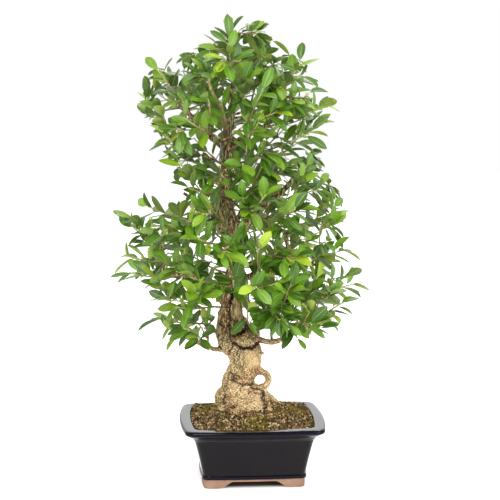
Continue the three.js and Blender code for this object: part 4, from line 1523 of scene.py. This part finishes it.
def leaf_pose(outward, stem, length, keys, attempt):
    share = 1 - LEAF_SPACING * (keys[1] + 0.3) / length
    opening = mixed(0.6, 1, chance(*keys, 2)) + (attempt % 4) * 0.1
    axis = heading(stem, share) * math.cos(opening)
    axis = axis + side_of(stem, share, keys[0] + keys[1] + attempt) * math.sin(opening)
    axis = unit(axis + UP * (0.16 * chance(*keys, 3) - 0.1))
    look = np.array([outward[0] * 0.7 + chance(*keys, 4) - 0.5, outward[1] * 0.7 + chance(*keys, 5) - 0.5,
                     0.75 + 0.4 * outward[2]])
    return stem(share), axis, crossways(axis, look), mixed(*LEAF_LENGTH, chance(*keys, 6))


def leaf_marks(at, axis, face, length):
    """Points spread over a leaf's blade, which stand for it where leaves are kept apart."""
    side = np.cross(axis, face) * length * LEAF_SLENDERNESS
    spots = [(0.34, 0), (0.52, 0.6), (0.52, -0.6), (0.76, 0.5), (0.76, -0.5), (1, 0)]
    return np.array([at + axis * length * far + side * across for far, across in spots])


class Marks:
    """Places that leaves keep clear of, each with its own distance and the shoot it belongs to."""

    def __init__(self):
        self.places, self.apart, self.owners = np.empty((0, 3)), np.empty(0), np.empty(0, int)

    def add(self, places, apart, owner=-1):
        places = np.atleast_2d(places)
        self.places = np.vstack([self.places, places])
        self.apart = np.append(self.apart, np.broadcast_to(apart, len(places)))
        self.owners = np.append(self.owners, np.full(len(places), owner))

    def clear(self, marks, owner=-1, own_apart=0.0):
        apart = np.where(self.owners == owner, own_apart, self.apart) if owner >= 0 else self.apart
        gaps = np.linalg.norm(self.places[None] - marks[:, None], axis=2)
        return bool((gaps > apart).all())


wood_marks, stem_marks, blade_marks = Marks(), Marks(), Marks()
for route, radius_at in wood:
    for share in (0.1, 0.25, 0.4, 0.55, 0.7, 0.85, 1):
        wood_marks.add(route(share), 6 + radius_at(share))
for k in range(TRUNK_PLACES + 1):
    at_ring = int(k / TRUNK_PLACES * (len(TRUNK) - 1))
    wood_marks.add(trunk_route(k / TRUNK_PLACES), WOOD_ROOM + TRUNK[at_ring, 3])
for index, stem in enumerate(stems):
    stem_marks.add([stem(share) for share in (0, 0.2, 0.4, 0.6, 0.8, 1)], 9, index)


def plain_leaves():
    """The leaves of the plain model, shoot by shoot."""
    grown = [[] for _ in stems]
    for index, stem in enumerate(stems):
        length = length_of(stem)
        for which in range(LEAVES):
            for attempt in range(LEAF_TRIES):
                pose = leaf_pose(seats[index][1], stem, length, (index, which), attempt)
                marks = leaf_marks(*pose)
                if (wood_marks.clear(marks) and stem_marks.clear(marks, index, 5)
                        and blade_marks.clear(marks, index, 8)):
                    grown[index].append(pose)
                    blade_marks.add(marks, 13, index)
                    break
    return grown


leaves = plain_leaves()
print("plain leaves:", sum(len(more) for more in leaves))
for index in MEASURED_SHOOTS:
    low, high = [np.array(corner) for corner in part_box(f"spray_{index + 1:02d}")]
    tips = placed(np.array([at + axis * length for at, axis, _, length in leaves[index]]))
    print("shoot", index + 1, "leaf tips past the plain box by mm:",
          np.round(np.maximum(low - tips.min(axis=0), tips.max(axis=0) - high) / MM, 1))

# %% [markdown]
# A real crown is far denser than the plain one, and it is not even: leaves crowd in pads with gaps
# between. So the pads seen in the photo are written down as ovals in the picture's plane, and twigs reach
# to places drawn inside them. The front pads hang before the trunk, and the outlying ones let leaves stand
# beyond the crown's outline. A window is a box that the leaves of the twigs stay out of, for the gaps, and
# a lone tip is the end of a twig that stands apart.

# %% Leaf pads and gaps
PADS = [
    (-36, 908, 54, 36), (-147, 855, 70, 48), (75, 862, 70, 48), (-40, 848, 82, 52), (-188, 806, 45, 40),
    (114, 789, 42, 40), (-106, 784, 50, 36), (27, 785, 61, 40), (-150, 732, 32, 28), (109, 737, 41, 22),
    (21, 738, 45, 25), (-136, 655, 45, 32), (-61, 640, 37, 28), (21, 667, 53, 45), (109, 657, 50, 48),
    (150, 604, 42, 36), (38, 582, 61, 38), (-244, 556, 22, 20), (-180, 519, 52, 46), (-106, 540, 45, 44),
    (-28, 497, 57, 42), (79, 508, 61, 52), (158, 519, 30, 44), (-270, 446, 26, 13), (-180, 438, 50, 38),
    (-106, 440, 45, 40), (27, 415, 45, 34), (99, 402, 58, 45), (168, 415, 34, 40), (-156, 362, 34, 24),
    (-112, 322, 30, 16), (160, 352, 34, 24), (118, 336, 28, 18), (-172, 678, 32, 20), (-110, 595, 24, 24),
    (32, 930, 28, 14), (32, 362, 38, 24), (64, 330, 38, 18),
    (-212, 788, 24, 24), (-186, 532, 18, 14), (-196, 768, 24, 14),
]
FRONT_PADS = [
    (-34, 622, 34, 32), (-56, 664, 18, 18), (-42, 524, 28, 24), (52, 352, 30, 22), (12, 372, 18, 22),
]
OUTLYING = [(30, 940, 38, 24), (206, 372, 32, 18), (-260, 570, 28, 22), (-284, 430, 28, 26)]
WINDOWS = [
    (-78, -4, 262, 334, -400, 0), (-78, -20, 334, 402, -400, 0), (-90, -34, 552, 600, -400, 0),
    (-100, -44, 690, 750, -400, -40), (-104, -64, 676, 700, -400, 400), (40, 146, 694, 720, -400, 400),
    (-60, 24, 262, 352, 0, 120),
    (-150, -114, 754, 786, -400, 0), (-96, -52, 768, 832, -400, -96), (-58, 0, 446, 484, -400, -106),
    (-240, -142, 576, 626, -400, 400), (-262, -214, 398, 426, -400, 400), (206, 236, 484, 544, -400, 400),
    (-140, -62, 236, 292, -400, 400), (-224, -190, 312, 342, -400, 400), (46, 124, 236, 298, -400, 400),
    (0, 46, 236, 316, -400, 400), (-218, -204, 726, 750, -400, 400),
]
LONE_TIPS = [
    (194, -30, 378), (-182, -30, 326), (-92, -40, 350), (-222, -20, 505), (-184, -20, 738), (-46, -58, 658),
]
TWIGS = 350
FIRST_TWIG = 320
CROWN_SLACK = 4
OUTLYING_DEPTH = 90
DEPTH_SLACK = 10
EDGE_SLACK = 12
LEAST_DEPTH = 0.08
LEAST_ROOM = 0.02
FRONT_SHARE = 0.54
EVEN_STEPS = (0.754877666, 0.569840296, 0.618033989, 0.438447187)


def drawn(count, step):
    """Numbers from 0 to 1 that fill the range more evenly than dice would."""
    return (0.5 + step * np.arange(count)) % 1


def twig_tips():
    pads = PADS + FRONT_PADS
    areas = np.cumsum([half_x * half_z for _, _, half_x, half_z in pads])
    pad, far, turn, deep = (drawn(TWIGS, step) for step in EVEN_STEPS)
    picks = np.searchsorted(areas / areas[-1], pad)
    tips = []
    for k, pick in enumerate(picks):
        x, z, half_x, half_z = pads[pick]
        out = math.sqrt(mixed(0.04, 1, far[k]))
        x += half_x * out * math.cos(turn[k] * 2 * math.pi)
        z += half_z * out * math.sin(turn[k] * 2 * math.pi)
        left, right = crown_at(z)
        half = (right - left) / 2
        room = math.sqrt(max(1 - ((x - (left + right) / 2) / half) ** 2, LEAST_ROOM))
        side = -1 if deep[k] < FRONT_SHARE or pick >= len(PADS) else 1
        y = side * half * CROWN_DEPTH * room * mixed(0.2, 0.93, math.sqrt(chance(k, 41)))
        tips.append(np.array([x, y, z]))
    return tips + [np.array(tip, float) for tip in LONE_TIPS]


def in_window(place):
    x, y, z = place
    return any(x0 < x < x1 and z0 < z < z1 and y0 < y < y1 for x0, x1, z0, z1, y0, y1 in WINDOWS)


def in_crown(place):
    ovals = [math.hypot((place[0] - x) / half_x, (place[2] - z) / half_z) for x, z, half_x, half_z in OUTLYING]
    if min(ovals) < 1:
        return abs(place[1]) < OUTLYING_DEPTH
    left, right = crown_at(place[2])
    half = (right - left) / 2 + CROWN_SLACK
    middle = (right + left) / 2
    depth = half * CROWN_DEPTH + DEPTH_SLACK
    aside = (place[0] - middle) / half
    deepest = depth * math.sqrt(max(1 - aside * aside, LEAST_DEPTH)) + EDGE_SLACK
    return abs(aside) < 1 and abs(place[1]) < deepest


# %% [markdown]
# Each twig starts at the wood nearest to its tip, unless that lies above or outside the tip, and bends
# outwards. A few twigs and leaves that the photo shows plainly are laid one by one, through their own points.

# %% Twigs
TWIG_TIP = 1.5
TWIG_BASE = 2.0
TWIG_GAIN = 0.02
LONGEST_TWIG = 170
CLOSE_WOOD = 26
CLOSE_WOOD_COST = 60
TWIG_DETOUR_COST = 1.6
FEWEST_LEAVES = 2
SHOWN_TWIGS = [
    ((5.5, 2.6), [(-51, 2, 706), (-61, -40, 772), (-80, -70, 803), (-90, -88, 830), (-92, -98, 866)]),
    ((3.4, 2.0), [(-63, -46, 776), (-66, -60, 795), (-59, -80, 826), (-50, -90, 852)]),
    ((3.6, 1.8), [(-36, -12, 418), (-38, -60, 430), (-39, -100, 455), (-25, -112, 471), (4, -118, 506)]),
    ((2.6, 1.6), [(-39, -98, 450), (-30, -112, 486), (-25, -116, 520)]),
    ((2.6, 1.6), [(-39, -98, 452), (-52, -112, 483), (-66, -116, 506)]),
    ((2.2, 1.5), [(-2, -20, 318), (-10, -34, 338), (-12, -40, 356), (-8, -42, 378)]),
]
SHOWN_LEAVES = [
    ((-12, -38, 345), (-48, -50, 322)), ((-10, -42, 366), (14, -54, 341)), ((-8, -36, 342), (9, -48, 317)),
]
SHOWN_FACE = np.array([-0.2, -0.9, 0.4])


def wood_anchors():
    anchors = []
    for k in range(TRUNK_PLACES + 1):
        at = trunk_route(k / TRUNK_PLACES)
        if at[2] > FIRST_TWIG:
            anchors.append((*at, trunk_radius(k / TRUNK_PLACES) * 0.7))
    for route, radius_at in wood:
        anchors += [(*route(k / 12), radius_at(k / 12)) for k in range(2, 13)]
    for stem in stems:
        anchors += [(*stem(k / 5), 1.7) for k in range(0, 4)]
    return anchors


def grow_twigs():
    """Each twig as its curve, its radius along it and its way outward."""
    anchors = np.array(wood_anchors())
    twigs = []
    for key, tip in sorted(enumerate(twig_tips()), key=lambda pair: reach(pair[1])):
        away = np.array([tip[0] - MIDDLE_X, tip[1] * 1.1, 0])
        lift = mixed(0.05, 0.75, np.interp(tip[2], [300, 900], [0, 1])) + 0.5 * (chance(key, 42) - 0.4)
        outward = unit(unit(away + 1e-6) + UP * lift * mixed(2.2, 1, min(np.linalg.norm(away) / 120, 1)))
        gaps = anchors[:, :3] - tip
        far = np.linalg.norm(gaps, axis=1)
        reaches = np.hypot(anchors[:, 0] - MIDDLE_X, anchors[:, 1])
        cost = far + TWIG_DETOUR_COST * np.maximum(0, gaps[:, 2] + 8)
        cost += TWIG_DETOUR_COST * np.maximum(0, reaches - reach(tip) + 14)
        cost += CLOSE_WOOD_COST * (far < CLOSE_WOOD)
        pick = int(np.argmin(cost))
        start, wood_radius = anchors[pick, :3], anchors[pick, 3]
        length = far[pick]
        if length > LONGEST_TWIG:
            continue
        base = min(max(wood_radius * 0.8, TWIG_TIP), TWIG_BASE + length * TWIG_GAIN)
        leave = unit(tip - start)
        route = pulled_route(start, start + leave * length * 0.4 - UP * length * 0.06,
                             tip - outward * length * 0.38, tip)
        radius_at = tapered(base, min(TWIG_TIP, base))
        twigs.append((route, radius_at, outward, key))
        more = [(*route(k / 6), radius_at(k / 6)) for k in range(2, 5)]
        anchors = np.vstack([anchors, more])
    for k, (radii, points) in enumerate(SHOWN_TWIGS):
        route = smooth_route(points)
        twigs.append((route, tapered(*radii), heading(route, 1), TWIGS + len(LONE_TIPS) + k))
    return twigs


twigs = grow_twigs()
mean_length = round(np.mean([length_of(twig[0], 20) for twig in twigs]))
print("twigs:", len(twigs), "of", TWIGS, "and those laid by hand, mean length", mean_length, "mm")

# %% Leaves on the twigs
TWIG_LEAVES = (4, 8)
TWIG_LEAF_LENGTH = (36, 54)
TWIG_TRIES = 6


def twig_pose(outward, route, share, keys, which, attempt):
    opening = min(0.3 + 0.2 * which, 1.15) + 0.35 * (chance(*keys, 2) - 0.5)
    along = heading(route, share)
    across = crossways(along, unit(UP + 0.3 * RIGHT))
    angle = GOLDEN_ANGLE * (which + attempt * 0.37) + FULL_TURN * chance(*keys[:1], 7)
    side = across * math.cos(angle) + np.cross(across, along) * math.sin(angle)
    axis = unit(along * math.cos(opening) + side * math.sin(opening) + UP * (0.2 * chance(*keys, 3) - 0.12))
    sway = np.array([chance(*keys, 4) - 0.5, chance(*keys, 5) - 0.5, 0])
    look = outward * [0.75, 0.75, 0.4] + 1.1 * sway + UP * 0.75
    length = mixed(*TWIG_LEAF_LENGTH, chance(*keys, 6)) * (0.86 if which == 0 else 1)
    return route(share), axis, crossways(axis, look), length


def twig_leaves():
    """The kept leaves of each twig, and the share of its length at which its last one grows."""
    grown, ends = [], []
    for index, (route, _, outward, key) in enumerate(twigs):
        length = length_of(route, 20)
        count = round(mixed(*TWIG_LEAVES, chance(key, 43)))
        kept, end = [], 0
        for which in range(count):
            share = max(1 - (6 + 8.5 * which) / max(length, 30), 0.12)
            for attempt in range(TWIG_TRIES):
                pose = twig_pose(outward, route, share, (1000 + key, which), which, attempt)
                marks = leaf_marks(*pose)
                if any(in_window(mark) for mark in marks) or not in_crown(marks[5]):
                    continue
                if wood_marks.clear(marks) and blade_marks.clear(marks, 1000 + index, 5):
                    kept.append(pose)
                    end = max(end, share)
                    blade_marks.add(marks, 6.5, 1000 + index)
                    break
        grown.append(kept)
        ends.append(end)
    return grown, ends


def shown_leaf(start, end):
    """A leaf from its stalk's foot to its tip, with its face to the front."""
    blade = np.array(end, float) - np.array(start, float)
    length = np.linalg.norm(blade)
    return np.array(start, float), blade / length, crossways(blade / length, SHOWN_FACE), length


twig_foliage, twig_ends = twig_leaves()
twig_foliage[-1] += [shown_leaf(start, end) for start, end in SHOWN_LEAVES]
twig_ends[-1] = 1
print("leaves on twigs:", sum(len(kept) for kept in twig_foliage))

# %% [markdown]
# A fig leaf is a thick oval blade with a short blunt point, folded a little along its midrib and curving
# down at the tip. A flat card would vanish edge on, so the leaf is a thin closed body. Six forms with
# different folds and twists are enough for the eye not to find a repeat.

# %% Leaf forms
LEAF_ROWS = [(0, 0), (0.11, 0), (0.16, 0.2), (0.25, 0.56), (0.4, 0.88), (0.57, 1), (0.73, 0.93), (0.87, 0.64),
             (0.96, 0.24)]
STALK = 0.015
BLADE_HALF = 0.2
BLADE_THICKNESS = 0.011
LEAF_FORMS = [(0.3, 0.1, 0.1, 0.02), (0.12, 0.16, -0.25, -0.03), (0.42, 0.22, 0.2, 0.04),
              (0.2, 0.04, 0.35, -0.02), (0.55, 0.14, -0.15, 0.03), (0.05, 0.26, 0.05, -0.05)]
CORNERS = 6
BLADE_EDGES = (0, 4)
MIDRIB = 2
KEEL = 5
CHART_COLUMNS = [0.03, 0.14, 0.25, 0.36, 0.47]
CHART_MIDDLE = 0.25
UNDERSIDE_CHART = 0.5


def leaf_form(name, fold, droop, twist, bend):
    """One leaf a unit long along Y, with its face up: rings of six corners, closed at both ends."""
    points = []
    for far, width in LEAF_ROWS:
        if width == 0:
            ring = [(-1, 0), (-0.5, 0.8), (0, 1), (0.5, 0.8), (1, 0), (0, -1)]
            ring = [(x * STALK * (1.25 - 2 * far), z * STALK) for x, z in ring]
        else:
            half, thick = BLADE_HALF * width, BLADE_THICKNESS * (1.1 - 0.6 * far)
            ring = [(-half, fold * half), (-half / 2, fold * half / 2 + 0.09 * half), (0, thick * 0.2),
                    (half / 2, fold * half / 2 + 0.09 * half), (half, fold * half), (0, -thick * 1.6)]
        angle = twist * far
        for x, z in ring:
            points.append((x * math.cos(angle) - z * math.sin(angle) + bend * far * far * 2, far,
                           x * math.sin(angle) + z * math.cos(angle) - droop * far * far + 0.03))
    faces = ring_faces(len(LEAF_ROWS), CORNERS)
    last = len(points) - CORNERS
    points.append((bend * 2, 1.0, 0.03 - droop))
    faces += [(last + k, last + (k + 1) % CORNERS, len(points) - 1) for k in range(CORNERS)]
    faces.append(tuple(range(CORNERS)))
    mesh = bpy.data.meshes.new(name)
    mesh.from_pydata(points, [], faces)
    mesh = outward(mesh)
    tip = last + CORNERS
    chart = mesh.uv_layers.new(name="leaf_chart")
    for face in mesh.polygons:
        below = any(mesh.loops[loop].vertex_index % CORNERS == KEEL and mesh.loops[loop].vertex_index < tip
                    for loop in face.loop_indices)
        for loop in face.loop_indices:
            corner = mesh.loops[loop].vertex_index
            ring = MIDRIB if corner == tip else corner % CORNERS
            u = CHART_MIDDLE if ring == KEEL else CHART_COLUMNS[ring]
            chart.data[loop].uv = (u + (UNDERSIDE_CHART if below else 0), points[corner][1])
    mesh.shade_smooth()
    sharp = mesh.attributes.new("sharp_edge", "BOOLEAN", "EDGE")
    for edge in mesh.edges:
        a, b = edge.vertices
        lengthwise = a % CORNERS == b % CORNERS and a % CORNERS in BLADE_EDGES
        sharp.data[edge.index].value = min(a, b) >= 2 * CORNERS and lengthwise
    return add_object(name, mesh)


forms = [leaf_form(f"leaf_form_{k}", *form) for k, form in enumerate(LEAF_FORMS, 1)]
print("leaf form:", len(forms[0].data.polygons), "faces")

# %% [markdown]
# The leaf's colour is laid out on its own chart: how far across says where the pale midrib runs, how far
# along shifts the colour to the tip, and the half of the chart says top or underside. Each leaf carries
# its own tint, so that dark old leaves, fresh ones and a few lime new ones mix as on the tree.

# %% Leaf and twig finishes
def leaf_material():
    material, tree, surface = new_material("fig_leaf")
    chart = node_of(tree, "ShaderNodeUVMap", uv_map="leaf_chart")
    parts = node_of(tree, "ShaderNodeSeparateXYZ")
    tree.links.new(chart.outputs[0], parts.inputs[0])
    under = calculate(tree, "GREATER_THAN", parts.outputs["X"], UNDERSIDE_CHART)
    across = calculate(tree, "MULTIPLY_ADD", under, -UNDERSIDE_CHART, parts.outputs["X"])
    aside = calculate(tree, "ABSOLUTE", calculate(tree, "SUBTRACT", across, CHART_MIDDLE))
    tint = attribute(tree, "tint")
    top = ramp(tree, tint, [(0.0, srgb(36, 66, 4)), (0.3, srgb(70, 114, 10)), (0.6, srgb(96, 142, 16)),
                            (0.85, srgb(126, 164, 28)), (0.92, srgb(152, 184, 38)),
                            (1.0, srgb(188, 208, 48))])
    below = ramp(tree, tint, [(0.0, srgb(92, 120, 50)), (0.6, srgb(122, 148, 66)), (1.0, srgb(180, 198, 80))])
    color = blend_colors(tree, under, top, below)
    veins = calculate(tree, "MULTIPLY_ADD", aside, -1.1, parts.outputs["Y"])
    veins = calculate(tree, "SINE", calculate(tree, "MULTIPLY", veins, 62))
    color = blend_colors(tree, limited(tree, veins, 0.8, 1, 0, 0.22), color, srgb(134, 166, 84))
    cloud = noise_at(tree, object_place(tree), 60)
    color = blend_colors(tree, limited(tree, cloud, 0.45, 0.75, 0, 0.35), color, srgb(52, 84, 24))
    color = blend_colors(tree, limited(tree, aside, 0.02, 0.005, 0, 0.6), color, srgb(168, 188, 112))
    color = blend_colors(tree, limited(tree, parts.outputs["Y"], 0.16, 0.1), color, srgb(196, 200, 120))
    tree.links.new(color, surface.inputs["Base Color"])
    rough = calculate(tree, "MULTIPLY_ADD", under, 0.2, 0.33)
    tree.links.new(rough, surface.inputs["Roughness"])
    surface.inputs["Specular IOR Level"].default_value = 0.48
    tree.links.new(bump(tree, veins, 0.0004, 0.3), surface.inputs["Normal"])
    return material


def twig_material():
    material, tree, surface = new_material("twig")
    place = object_place(tree)
    speckle = noise_at(tree, place, 180, detail=3)
    color = ramp(tree, attribute(tree, "age"), [
        (0.0, srgb(188, 196, 118)), (0.25, srgb(186, 178, 116)), (0.55, srgb(158, 132, 92)),
        (1.0, srgb(116, 92, 66))])
    color = blend_colors(tree, limited(tree, speckle, 0.5, 0.68, 0, 0.5), color, srgb(110, 84, 58))
    tree.links.new(color, surface.inputs["Base Color"])
    surface.inputs["Roughness"].default_value = 0.7
    tree.links.new(bump(tree, speckle, 0.0006, 0.4), surface.inputs["Normal"])
    return material


leaf_finish, twig_finish = leaf_material(), twig_material()
print("finishes:", leaf_finish.name, "and", twig_finish.name)

# %% [markdown]
# Now one tree makes every leafy shoot: it takes points for the leaves and lines for the twigs, sweeps the
# lines, and lays a leaf form on each point with the turn, size and tint stored there.

# %% Tree that makes a leafy shoot
def foliage_tree():
    tree, given, result = new_geometry_tree("leafy_shoot", Forms="Collection", Leaf_finish="Material",
                                            Twig_finish="Material")
    apart = node_of(tree, "GeometryNodeSeparateGeometry", domain="POINT")
    wire(tree, given.outputs["Geometry"], apart.inputs["Geometry"])
    wire(tree, named(tree, "is_leaf", "BOOLEAN"), apart.inputs["Selection"])
    forms_in = node_of(tree, "GeometryNodeCollectionInfo")
    forms_in.inputs["Separate Children"].default_value = True
    forms_in.inputs["Reset Children"].default_value = True
    wire(tree, given.outputs["Forms"], forms_in.inputs["Collection"])
    rotation = node_of(tree, "FunctionNodeEulerToRotation")
    wire(tree, named(tree, "turn", "FLOAT_VECTOR"), rotation.inputs[0])
    lay = node_of(tree, "GeometryNodeInstanceOnPoints")
    lay.inputs["Pick Instance"].default_value = True
    wire(tree, apart.outputs["Selection"], lay.inputs["Points"])
    wire(tree, forms_in.outputs["Instances"], lay.inputs["Instance"])
    wire(tree, named(tree, "form", "INT"), lay.inputs["Instance Index"])
    wire(tree, rotation.outputs[0], lay.inputs["Rotation"])
    wire(tree, named(tree, "size", "FLOAT"), lay.inputs["Scale"])
    real = node_of(tree, "GeometryNodeRealizeInstances")
    wire(tree, lay.outputs["Instances"], real.inputs["Geometry"])
    paint = node_of(tree, "GeometryNodeSetMaterial")
    wire(tree, real.outputs["Geometry"], paint.inputs["Geometry"])
    wire(tree, given.outputs["Leaf finish"], paint.inputs["Material"])
    twigs_made = sweep(tree, apart.outputs["Inverted"], 6, given.outputs["Twig finish"])
    both = node_of(tree, "GeometryNodeJoinGeometry")
    wire(tree, paint.outputs[0], both.inputs[0])
    wire(tree, twigs_made, both.inputs[0])
    wire(tree, both.outputs[0], result.inputs[0])
    return tree


LIME_TINT = 0.95
LIME_FROM = 0.965
FRESH_SHOOT_FROM = 0.8
FRESH_SHOOT_LIFT = 0.06
TINT_RANGE = (0.1, 0.98)
TINT_SHARE = 0.9
HIGHEST_TINT = 0.88


def shoot_mesh(name, lines, poses, key):
    """Twig lines and leaf points in one mesh, with what each leaf needs stored on its point."""
    mesh = line_mesh(name, lines)
    bare = len(mesh.vertices)
    mesh.vertices.add(len(poses))
    for k, (at, _, _, _) in enumerate(poses):
        mesh.vertices[bare + k].co = placed(np.array([at]))[0]
    turns, sizes, kinds, tints = np.zeros((bare, 3)), np.zeros(bare), np.zeros(bare, int), np.zeros(bare)
    for k, (at, axis, face, length) in enumerate(poses):
        basis = Matrix((np.cross(axis, face), axis, face)).transposed()
        turns = np.vstack([turns, basis.to_euler()])
        sizes = np.append(sizes, length * MM)
        kinds = np.append(kinds, int(chance(key, k, 51) * len(LEAF_FORMS)))
        fresh = FRESH_SHOOT_LIFT * (chance(key, 53) > FRESH_SHOOT_FROM)
        fresh += TINT_SHARE * mixed(*TINT_RANGE, chance(key, k, 52))
        tints = np.append(tints, LIME_TINT if chance(key, k, 54) > LIME_FROM else min(fresh, HIGHEST_TINT))
    mesh.update()
    add_layer(mesh, "turn", "FLOAT_VECTOR", turns)
    add_layer(mesh, "size", "FLOAT", sizes)
    add_layer(mesh, "form", "INT", kinds)
    add_layer(mesh, "tint", "FLOAT", tints)
    add_layer(mesh, "is_leaf", "BOOLEAN", np.arange(bare + len(poses)) >= bare)
    return mesh


# %% Leafy shoots
leaf_forms = collection_of("leaf_forms", forms)
leafy_shoot = foliage_tree()
seat_places = np.array([stem(0.7) for stem in stems])
owners = [int(np.argmin(np.linalg.norm(seat_places - twig[0](0.9), axis=1))) for twig in twigs]
total = 0
for index, stem in enumerate(stems):
    lines = [sampled(stem, tapered(STEM_RADIUS, 1.2), 10)]
    poses = list(leaves[index])
    for twig, kept, end, owner in zip(twigs, twig_foliage, twig_ends, owners):
        if owner == index and len(kept) >= FEWEST_LEAVES:
            lines.append(sampled(twig[0], twig[1], 10, end))
            poses += kept
    name = f"leafy_shoot_{index + 1:02d}"
    draft = add_object(name + "_draft", shoot_mesh(name, lines, poses, 2000 + index))
    shoot = run_tree(draft, leafy_shoot, name, Forms=leaf_forms, Leaf_finish=leaf_finish,
                     Twig_finish=twig_finish)
    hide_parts(f"spray_{index + 1:02d}")
    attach(shoot, "root")
    total += triangles(shoot)
drop_collection(leaf_forms)
print("leafy shoots:", len(stems), "pieces,", total, "triangles")

# %% [markdown]
# The drain screens stay the solids of the plain model, as a flat moulded grid needs no finer form. They
# only get a plastic finish: dark, a little dusty and matt.

# %% Drain screens
def screen_material():
    material, tree, surface = new_material("screen_plastic")
    dust = noise_at(tree, object_place(tree), 90, detail=3)
    color = blend_colors(tree, limited(tree, dust, 0.45, 0.7, 0, 0.5), srgb(30, 34, 32), srgb(74, 66, 52))
    tree.links.new(color, surface.inputs["Base Color"])
    surface.inputs["Roughness"].default_value = 0.6
    tree.links.new(bump(tree, dust, 0.0004, 0.3), surface.inputs["Normal"])
    return material


screen_finish = screen_material()
for name in ("drain_screen_left", "drain_screen_right"):
    bpy.data.objects[name].data.materials.clear()
    bpy.data.objects[name].data.materials.append(screen_finish)
print("drain screens:", screen_finish.name)
